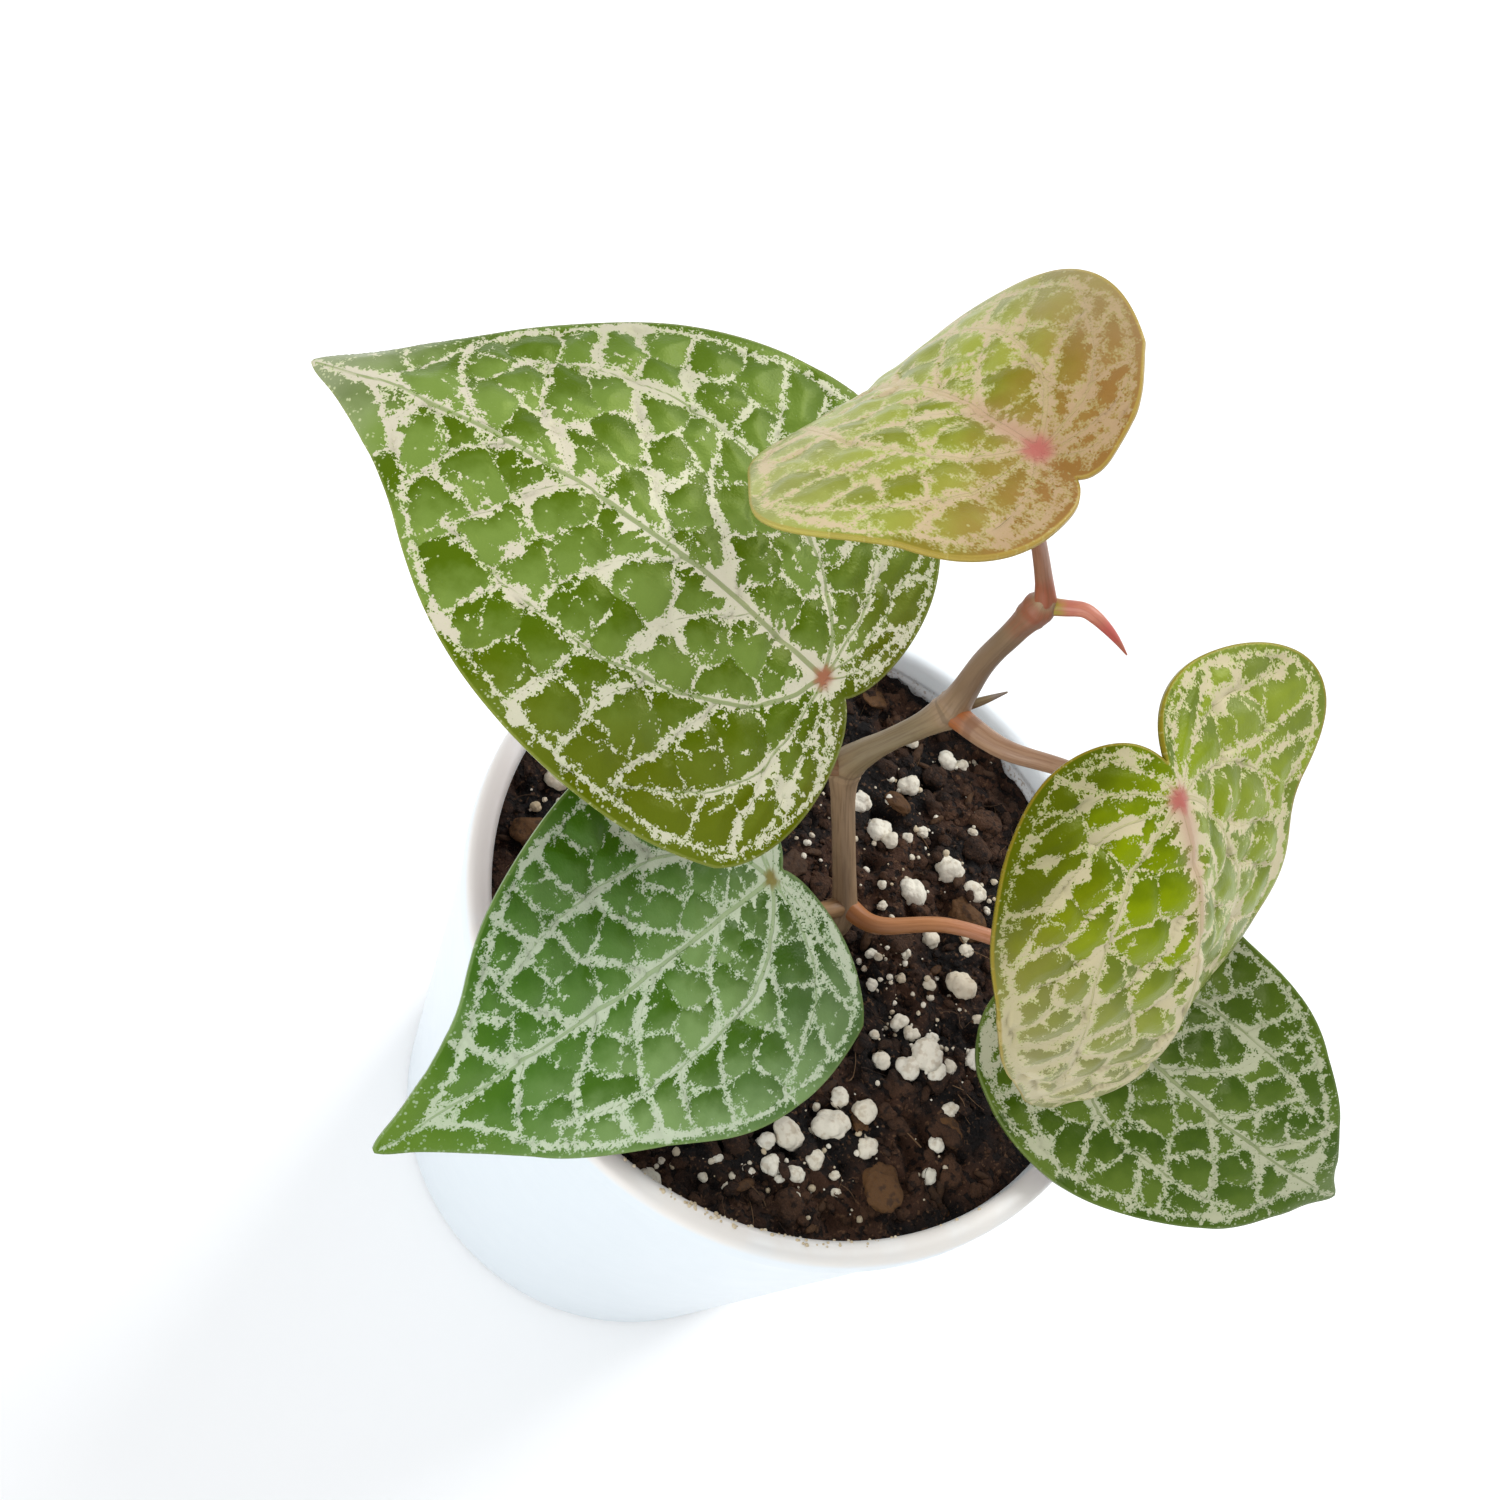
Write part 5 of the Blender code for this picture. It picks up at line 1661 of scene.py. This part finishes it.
class StemWork:
    """The zigzag stem, its leaf stalks, the shoot bud and the dry scale."""

    def build(self) -> None:
        """Make and dress them all."""
        zones = (
            (43.0, 8.5, "#948660", 0.8), (59.0, 9.5, "#7c634a", 0.85), (66.8, 3.2, "#935a42", 0.75),
            (68.6, 1.5, "#a04e34", 0.6), (36.6, 0.4, "#6e5c44", 0.5), (50.4, 0.4, "#6e5c44", 0.5),
        )
        brown = Bark("ridged_stem_bark", "#ab8f6e", "#80684c", 0.5, 0.06, zones).build()
        scars = (35.4, 37.3, 49.4, 51.4, 67.0, 68.6)
        stem = Tube("vine_stem", STEM_ROUTE, 28, 0.3, ribs=0.03, rings=scars, knobbly=0.06)
        settle(stem.build(), (brown,), "stem")
        for form in BLADES:
            finish = self.stalk_finish(form.name)
            name, route = form.name.replace("leaf", "petiole"), self.stalk_route(form)
            stalk = Tube(name, route, 18, 0.35, ribs=0.03, knobbly=0.03)
            settle(stalk.build(), (finish,), form.name.replace("leaf", "stalk"))
        bud_zones = ((0.6, 2.4, "#a9a038", 0.9), (4.6, 1.6, "#d98f74", 0.7), (7.6, 1.9, "#cf625a", 0.9))
        pink = Bark("young_bud_skin", "#cc7d66", "#b96a58", 0.38, 0.03, bud_zones).build()
        settle(Tube("growing_bud", BUD_ROUTE, 16, 0.25).build(), (pink,), "shoot_bud")
        dry = Bark("dry_scale_skin", "#8d7a58", "#6d5b40", 0.7, 0.08, ((4.6, 1.4, "#8f8378", 0.9),)).build()
        settle(Tube("dry_bract", SCALE_ROUTE, 10, 0.25).build(), (dry,), "dry_scale")

    @staticmethod
    def stalk_finish(name: str) -> Material:
        """Skin of one leaf's stalk, salmon to brown.

        Args:
            name: the leaf's name.

        Returns:
            The material.
        """
        colours = {
            "leaf_a": ("#a07c5a", "#856648", ()),
            "leaf_b": ("#a8845c", "#8a6a46", ()),
            "leaf_c": ("#a17258", "#85593f", ((2.0, 3.0, "#a85c40", 0.8),)),
            "leaf_d": ("#ad8a6c", "#8a644a", ((2.2, 2.4, "#ae622c", 0.9), (4.6, 0.8, "#7a4628", 0.5))),
            # Leaf E's stalk: the pale zone 20 mm along is a painted highlight; the orange at its foot is its
            # own colour.
            "leaf_e": ("#cb8d5c", "#aa6e3c", ((2.0, 5.0, "#ad6c38", 0.7), (20.0, 9.0, "#d09274", 0.8))),
        }
        ground, streak, zones = colours[name]
        return Bark(name.replace("leaf", "stalk") + "_skin", ground, streak, 0.42, 0.05, zones).build()

    @staticmethod
    def stalk_route(form: BladeForm) -> tuple:
        """Route of a stalk from inside the stem to the blade.

        Args:
            form: the leaf that it carries.

        Returns:
            Rows of x, y, z and radius.
        """
        foot = np.array(form.stalk_foot)
        end = np.array(form.junction) - STALK_SEAT * unit(form.upward)
        radius = form.stalk_radius
        route = [(*foot, 1.5 * radius), *[(*spot, radius) for spot in form.stalk]]
        route[1] = (*form.stalk[0], 1.18 * radius)
        return (*route, (*end, 1.0 * radius))


@dataclass
class Pot:
    """Thin tapered pot with a rolled lip, a flat base and drain holes."""

    steps: int = 180

    @staticmethod
    def outer_radius(height: float) -> float:
        """Radius of the tapered outer wall."""
        return BASE_RADIUS + WALL_SLOPE * height

    def profile(self) -> Array:
        """Half section with rounded corners, closed on the axis.

        Returns:
            Rows of radius and height.
        """
        lip_low = POT_HEIGHT - LIP_HEIGHT
        sharp = np.array((
            (0.0, 0.0),
            (BASE_RADIUS, 0.0),
            (self.outer_radius(lip_low), lip_low),
            (RIM_RADIUS, lip_low + 0.2),
            (RIM_RADIUS, POT_HEIGHT),
            (MOUTH, POT_HEIGHT),
            (MOUTH, lip_low + 0.4),
            (self.outer_radius(lip_low - 1.0) - WALL, lip_low - 1.0),
            (self.outer_radius(FLOOR) - WALL, FLOOR),
            (0.0, FLOOR),
        ))
        reach = (0, 0.9, 0.25, 0.25, 1.2, 1.2, 0.4, 0.4, 1.2, 0)  # of each corner's rounding
        points = [sharp[0]]
        for index in range(1, len(sharp) - 1):
            before, here, after = sharp[index - 1:index + 2]
            start = here + unit(before - here) * reach[index]
            end = here + unit(after - here) * reach[index]
            run = norm(start - points[-1])
            extra = max(1, int(run / 4.0))
            points += [points[-1] + (start - points[-1]) * k / extra for k in range(1, extra)]
            for t in np.linspace(0, 1, 6):
                points.append((1 - t) ** 2 * start + 2 * t * (1 - t) * here + t ** 2 * end)
        return np.array([*points, sharp[-1]])

    def build(self) -> None:
        """Make the pot and hang it in the frame."""
        pot = wrapped("nursery_pot", turned(self.profile(), self.steps))
        for index in range(DRAIN_HOLES):
            turn = 2 * math.pi * index / DRAIN_HOLES
            spot = (DRAIN_CIRCLE * math.cos(turn), DRAIN_CIRCLE * math.sin(turn), 0.5)
            bpy.ops.mesh.primitive_cylinder_add(vertices=40, radius=DRAIN_RADIUS, depth=6.0, location=spot)
            drill = bpy.context.object
            apply_modifier(pot, "BOOLEAN", operation="DIFFERENCE", object=drill, solver="EXACT")
            bpy.data.objects.remove(drill, do_unlink=True)
        settle(pot, (PotPlastic().build(),), "pot", smooth=False)
        only(pot)
        bpy.ops.object.shade_smooth_by_angle(angle=math.radians(40))


@dataclass
class Soil:
    """Plug of potting mix with perlite, bark chips and crumbs on its top."""

    REACH = MOUTH - 0.9  # how far out the bits lie

    steps: int = 300
    rings: int = 58
    clods: int = 110
    crumbs: int = 900
    grit: int = 1700
    spilt: int = 110
    specks: int = 420
    splinters: int = 70
    strands: int = 110
    chance: random.Random = field(default_factory=lambda: random.Random(GRAIN_SEED + 1))

    @staticmethod
    def height(x: float, y: float) -> float:
        """Level of the soil's top, which settles a little at the wall."""
        crumbs = noise.noise(Vector((x, y, 3.0)) * 0.33) + 0.5 * noise.noise(Vector((x, y, 9.0)) * 0.8)
        return SOIL_LEVEL + SOIL_ROUGHNESS * crumbs - 0.7 * (math.hypot(x, y) / MOUTH) ** 4

    def top(self, x: float, y: float) -> float:
        """Level with the finer crumbs.

        Args:
            x: place on the soil.
            y: the same.

        Returns:
            The height.
        """
        fine = 0.55 * noise.noise(Vector((x, y, 5.0)) * 0.9) + 0.3 * noise.noise(Vector((x, y, 1.0)) * 2.6)
        gap = max(0.0, noise.noise(Vector((x, y, 7.0)) * 0.36) - 0.08)
        return self.height(x, y) + fine - 3.2 * gap

    def plug(self) -> Mesh:
        """The body of soil down to the pot's base.

        Returns:
            The piece, in millimetres.
        """
        low = FLOOR + 0.3
        foot = Pot.outer_radius(FLOOR) - WALL - 0.3
        top = Pot.outer_radius(SOIL_LEVEL) - WALL - 0.25
        profile = [(0.0, low), (foot * 0.5, low), (foot, low)]
        profile += [(foot + (top - foot) * k / 8, low + (SOIL_LEVEL - low) * k / 8) for k in range(1, 8)]
        profile += [(top * k / self.rings, SOIL_LEVEL) for k in range(self.rings, -1, -1)]
        profile = np.array(profile)
        rings = turned(profile, self.steps)
        for row in np.nonzero(profile[:, 1] > SOIL_LEVEL - 0.01)[0]:
            for column in range(self.steps):
                x, y = rings[row, column, :2]
                rings[row, column, 2] = self.top(x, y)
        return wrapped("soil_plug", rings)

    def resting(self, spot: tuple, long: float, wide: float, high: float, lift: float, shade: float) -> tuple:
        """Place, radii and shade of a bit on the soil; wide and high are shares of the long radius."""
        return (*spot, self.top(*spot) + lift, long, wide * long, high * long, shade)

    @staticmethod
    def grain_spots() -> list[tuple[float, float, float]]:
        """Draw the perlite grains as in the CAD part.

        Returns:
            Place and radius of each grain.
        """
        chance = random.Random(GRAIN_SEED)
        reach = MOUTH - 3.5
        spots = []
        while len(spots) < GRAIN_COUNT:
            if chance.random() < CLUSTERED_SHARE:
                cx, cy, spread = chance.choice(GRAIN_CLUSTERS)
                x, y = chance.gauss(cx, spread / 2), chance.gauss(cy, spread / 2)
            else:
                angle, away = chance.uniform(0, 2 * math.pi), reach * math.sqrt(chance.random())
                x, y = away * math.cos(angle), away * math.sin(angle)
            radius = chance.choice(GRAIN_RADII)
            clear_of_stem = math.hypot(x - STEM_ROUTE[0][0], y - STEM_ROUTE[0][1]) > 4.3
            apart = all(math.hypot(x - a, y - b) > 0.85 * (radius + c) for a, b, c in spots)
            if clear_of_stem and apart and math.hypot(x, y) < reach:
                spots.append((x, y, radius))
        return spots

    @staticmethod
    def lump(seed: int, level: int, rough: float, flat: float) -> Mesh:
        """One rough grain of radius 1.

        Args:
            seed: tells its form from others.
            level: how often its faces are divided.
            rough: height of its bumps.
            flat: its height, as a share of its width.

        Returns:
            The grain.
        """
        bpy.ops.mesh.primitive_ico_sphere_add(subdivisions=level, radius=1.0)
        item = bpy.context.object
        points = read_points(item)
        shift = seed * 7.7
        for index, point in enumerate(points):
            where = Vector(point) + Vector((shift, shift * 0.5, 0))
            big = noise.noise(where * 1.1)
            small = noise.noise(where * 2.9)
            points[index] = point * (1 + rough * (1.3 * big + 0.55 * small))
        points[:, 2] *= flat
        write_points(item, points)
        return item

    @staticmethod
    def nodule(seed: int, level: int) -> Mesh:
        """One popped grain of perlite: a few round bubbles grown together.

        Args:
            seed: of its bubbles.
            level: how often its faces are divided.

        Returns:
            The grain.
        """
        chance = random.Random(seed)
        bpy.ops.mesh.primitive_ico_sphere_add(subdivisions=level, radius=1.0)
        item = bpy.context.object
        ways = read_points(item)
        ways /= norm(ways, axis=1)[:, None]
        reach = np.zeros(len(ways))
        for _ in range(7):
            middle = unit([chance.gauss(0, 1) for _ in range(3)]) * chance.uniform(0.3, 0.46)
            size = chance.uniform(0.5, 0.68)
            aim = ways @ middle
            reach = np.maximum(reach, aim + np.sqrt(size ** 2 - middle @ middle + aim ** 2))
        fine = np.array([noise.noise(Vector(way) * 3.1 + Vector((seed, 0, 0))) for way in ways])
        write_points(item, ways * (reach / reach.mean() * (1 + 0.1 * fine))[:, None])
        return item

    def scatter(self, name: str, models: list[Mesh], places: list) -> Mesh:
        """Copies of a few models, each turned and sized, as one piece.

        Args:
            name: the piece's name.
            models: the shapes that are copied, removed afterwards.
            places: x, y, z, the three radii and the shade of each copy.

        Returns:
            The piece, in millimetres.
        """
        copies = []
        for number, (x, y, z, *size, tone) in enumerate(places):
            mesh = models[number % len(models)].data.copy()
            item = bpy.data.objects.new(name, mesh)
            turn = Matrix.Rotation(self.chance.uniform(0, 2 * math.pi), 4, "Z")
            tilt = Matrix.Rotation(self.chance.uniform(-0.5, 0.5), 4, "X")
            mesh.transform(Matrix.Translation((x, y, z)) @ tilt @ turn @ Matrix.Diagonal((*size, 1.0)))
            write_values(item, "tone", np.full(len(mesh.vertices), tone))
            bpy.context.scene.collection.objects.link(item)
            copies.append(item)
        for model in models:
            bpy.data.objects.remove(model, do_unlink=True)
        only(copies[0])
        for item in copies:
            item.select_set(True)
        bpy.ops.object.join()
        joined = bpy.context.object
        joined.name = joined.data.name = name
        return joined

    def anywhere(self) -> tuple[float, float]:
        """Random place on the soil's top."""
        angle, away = self.chance.uniform(0, 2 * math.pi), self.REACH * math.sqrt(self.chance.random())
        return away * math.cos(angle), away * math.sin(angle)

    def white_grains(self, drawn: list) -> list:
        """Perlite grains: each that the photograph shows takes the place of the closest drawn one.

        Args:
            drawn: place and radius of the drawn grains.

        Returns:
            Place, radius and shade of each grain.
        """
        free = list(drawn)
        seen = []
        for column, row, size in SEEN_GRAINS:
            x, y, scale = Studio.on_soil(column, row)
            close = [spot for spot in free if math.hypot(spot[0] - x, spot[1] - y) < 6.0]
            if close:
                free.remove(min(close, key=lambda spot: math.hypot(spot[0] - x, spot[1] - y)))
            if math.hypot(x, y) < MOUTH - 0.8:
                seen.append((x, y, size * scale, self.chance.uniform(0.0, 0.35)))
        return seen + [(x, y, 0.85 * radius, self.chance.uniform(0.45, 1.0)) for x, y, radius in free]

    def pieces_of_peat(self, count: int, low: float, spread: float) -> list:
        """Uneven crumbs strewn over the soil.

        Args:
            count: number of crumbs.
            low: smallest radius.
            spread: how much larger the largest is.

        Returns:
            Place, radii and shade of each crumb.
        """
        crumbs, chance = [], self.chance
        for _ in range(count):
            spot = self.anywhere()
            radius = low + spread * chance.random() ** 2.2
            wide, high = chance.uniform(0.6, 1.0), chance.uniform(0.4, 0.75)
            crumbs.append(self.resting(spot, radius, wide, high, -0.05 * radius, chance.random()))
        return crumbs

    def spilt_grit(self) -> list:
        """Grit left on the rounded inner shoulder of the pot's lip, on the near side.

        Returns:
            Place, radii and shade of each grain.
        """
        shoulder = 1.2
        spilt, chance = [], self.chance
        for _ in range(self.spilt):
            angle, out = chance.gauss(-1.3, 0.4), 0.9 * chance.random() ** 1.5
            away = MOUTH + out
            drop = shoulder * (1 - math.sqrt(out / shoulder)) ** 2
            radius = chance.uniform(0.07, 0.22)
            spilt.append((
                away * math.cos(angle), away * math.sin(angle), POT_HEIGHT - drop + 0.3 * radius,
                radius, radius, 0.7 * radius, chance.uniform(0.5, 1.6),
            ))
        return spilt

    def long_bits(self, count: int, span: tuple, lift: float, height: float, shade: float) -> list:
        """Long bits strewn over the soil.

        Args:
            count: number of bits.
            span: their shortest and longest radius.
            lift: mm above the soil.
            height: their third radius, as a share of the longest.
            shade: the lightest shade.

        Returns:
            Place, radii and shade of each bit.
        """
        bits = []
        for _ in range(count):
            spot = self.anywhere()
            long = self.chance.uniform(*span)
            bits.append(self.resting(spot, long, 0.4, height, lift, self.chance.random() * shade))
        return bits

    def bark_places(self, chips: list) -> list:
        """Bark chips: those of the CAD part and those that the photograph shows.

        Args:
            chips: place and radius of the drawn ones.

        Returns:
            Place, radii and shade of each chip.
        """
        bark = []
        for number, (x, y, _) in enumerate(chips):
            big = 3.0 - 0.25 * number
            level, shade = self.height(x, y) + 0.05 * big, self.chance.random()
            bark.append((x, y, level, big, 0.7 * big, 0.4 * big, shade))
        for column, row, size in SEEN_CHIPS:
            x, y, scale = Studio.on_soil(column, row)
            big = size * scale
            bark.append(self.resting((x, y), big, 0.85, 0.35, 0.1 * big, 1.0))
        return bark

    def speck_places(self, grains: list) -> list:
        """Small white specks around the perlite grains.

        Args:
            grains: the perlite grains.

        Returns:
            Place, radii and shade of each speck.
        """
        specks, chance = [], self.chance
        for _ in range(self.specks):
            x, y, *_ = chance.choice(grains)
            spread = chance.choice((1.3, 3.4))
            x, y = x + chance.gauss(0, spread), y + chance.gauss(0, spread)
            if math.hypot(x, y) < self.REACH:
                radius = 0.1 + 0.42 * chance.random() ** 2.2
                specks.append(self.resting((x, y), radius, 0.9, 0.8, 0.3 * radius, chance.random()))
        return specks

    def build(self) -> None:
        """Make the soil and all that lies on it."""
        settle(self.plug(), (PottingMix().build(),), "soil")
        spots = self.grain_spots()
        chips = [spot for index, spot in enumerate(spots) if index % 8 == 0 and index // 8 < CHIP_COUNT]
        grains = self.white_grains([spot for spot in spots if spot not in chips])
        bark = self.bark_places(chips)
        perlite = [
            (x, y, self.height(x, y) + 0.15 * radius, radius, 0.9 * radius, 0.85 * radius, tone)
            for x, y, radius, tone in grains
        ]
        specks = self.speck_places(grains)
        clods = self.pieces_of_peat(self.clods, 0.9, 1.3)
        crumbs = self.pieces_of_peat(self.crumbs, 0.3, 0.7)
        grit = self.pieces_of_peat(self.grit, 0.12, 0.3)
        specks += self.spilt_grit()
        splinters = self.long_bits(self.splinters, (0.5, 1.6), 0.2, 0.25, 0.7)
        strands = self.long_bits(self.strands, (0.4, 1.2), 0.3, 0.7, 1.0)
        white = Lump("popped_perlite", "#fffbea", "#d6c4a2", "#b49c78", 0.4, 0.75, 0.3, 0.1).build()
        brown = Lump("bark_chips", "#3c281a", "#654524", "#2a1b13", 0.6, 0.75, 0.5, 0.25, flecked=0.3).build()
        crumb = Lump("peat_crumbs", "#110906", "#5c3f2b", "#090403", 0.75, 0.85, 0.3, 0.4, 0.6, 0.7).build()
        fibre = Lump("root_fibres", "#33241a", "#8a6b4b", "#22160f", 0.3, 0.7, 0.3, 0.05).build()
        for name, models, places, finish in (
            ("perlite", [self.nodule(k, 4) for k in range(8)], perlite, white),
            ("perlite_specks", [self.lump(20 + k, 2, 0.2, 0.95) for k in range(4)], specks, white),
            ("bark", [self.lump(40 + k, 4, 0.26, 0.9) for k in range(5)], bark, brown),
            ("bark_splinters", [self.lump(50 + k, 2, 0.35, 0.9) for k in range(5)], splinters, brown),
            ("clods", [self.lump(60 + k, 3, 0.42, 1.0) for k in range(8)], clods, crumb),
            ("peat", [self.lump(70 + k, 2, 0.42, 1.0) for k in range(8)], crumbs, crumb),
            ("grit", [self.lump(80 + k, 1, 0.5, 1.0) for k in range(8)], grit, crumb),
            ("fibres", [self.strand(k) for k in range(5)], strands, fibre),
        ):
            settle(self.scatter(name, models, places), (finish,), "soil")

    @staticmethod
    def strand(number: int) -> Mesh:
        """One curled root fibre, about four millimetres long, whose number tells it from others."""
        route = [
            (1.1 * (k - 2) + 0.3 * math.sin(2.1 * k + number), 0.8 * math.sin(1.3 * k + 1.7 * number),
             0.25 * math.cos(1.9 * k + number), 0.12 - 0.016 * k)
            for k in range(5)
        ]
        return Tube("strand", tuple(route), 5, 0.5).build()


@dataclass
class Studio:
    """Plain white sweep, soft light from above and the photograph's camera."""

    lens: float = 46.89
    location: tuple = (-16.08, -106.71, 255.62)
    tilt: float = 33.0  # degrees up from straight down
    roll: float = 38.0
    sensor: float = 36.0

    def build(self) -> None:
        """Make the floor, the lights and the camera."""
        bpy.ops.mesh.primitive_plane_add(size=6.0, location=(0, 0, -0.0003))
        floor = bpy.context.object
        floor.name = "paper_sweep"
        floor.data.materials.append(Paper().build())
        self.sky()
        self.lamp("window", (0.4, 2.0, 2.1), 1.7, 66.0)
        self.lamp("fill", (-0.9, -2.4, 1.2), 2.0, 48.0)
        data = bpy.data.cameras.new("camera")
        data.lens = self.lens
        data.sensor_width = self.sensor
        data.clip_start = 0.01
        camera = bpy.data.objects.new("camera", data)
        camera.matrix_world = Matrix.Translation(Vector(self.location) * MM) @ self.turn().to_4x4()
        bpy.context.scene.collection.objects.link(camera)
        bpy.context.scene.camera = camera
        bpy.context.scene.view_settings.view_transform = "Standard"

    @classmethod
    def turn(cls) -> Matrix:
        """The camera's rotation."""
        tilt = Matrix.Rotation(math.radians(cls.tilt), 3, "X")
        return tilt @ Matrix.Rotation(math.radians(cls.roll), 3, "Z")

    @classmethod
    def on_soil(cls, column: float, row: float) -> tuple[float, float, float]:
        """Place on the soil that a pixel of the photograph shows.

        Args:
            column: of the pixel.
            row: of the pixel.

        Returns:
            The place in millimetres, and the millimetres that one pixel spans there.
        """
        focal = cls.lens / cls.sensor * PHOTO_SIZE
        ray = cls.turn() @ Vector(((column - PHOTO_SIZE / 2) / focal, (PHOTO_SIZE / 2 - row) / focal, -1.0))
        depth = (SOIL_LEVEL - cls.location[2]) / ray.z
        return cls.location[0] + ray.x * depth, cls.location[1] + ray.y * depth, depth / focal

    @staticmethod
    def sky() -> None:
        """Even white surroundings."""
        world = bpy.data.worlds.new("white_room")
        world.use_nodes = True
        back = world.node_tree.nodes["Background"]
        back.inputs["Color"].default_value = linear("#fbfdff")
        back.inputs["Strength"].default_value = 0.74
        bpy.context.scene.world = world

    @staticmethod
    def lamp(name: str, place: tuple, size: float, power: float) -> None:
        """Large soft square light aimed at the plant.

        Args:
            name: the light's name.
            place: where it stands, in metres.
            size: length of its sides.
            power: in watts.
        """
        data = bpy.data.lights.new(name, "AREA")
        data.size = size
        data.energy = power
        item = bpy.data.objects.new(name, data)
        item.location = place
        item.rotation_euler = (Vector((0, 0, 0.08)) - Vector(place)).to_track_quat("-Z", "Y").to_euler()
        bpy.context.scene.collection.objects.link(item)


def main() -> None:
    """Build the plant and the studio around it."""
    Pot().build()
    Soil().build()
    StemWork().build()
    for number, form in enumerate(BLADES):
        LeafBlade(form, seed=101 + 17 * number).build()
    Studio().build()


if __name__ == "__main__":
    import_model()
    main()
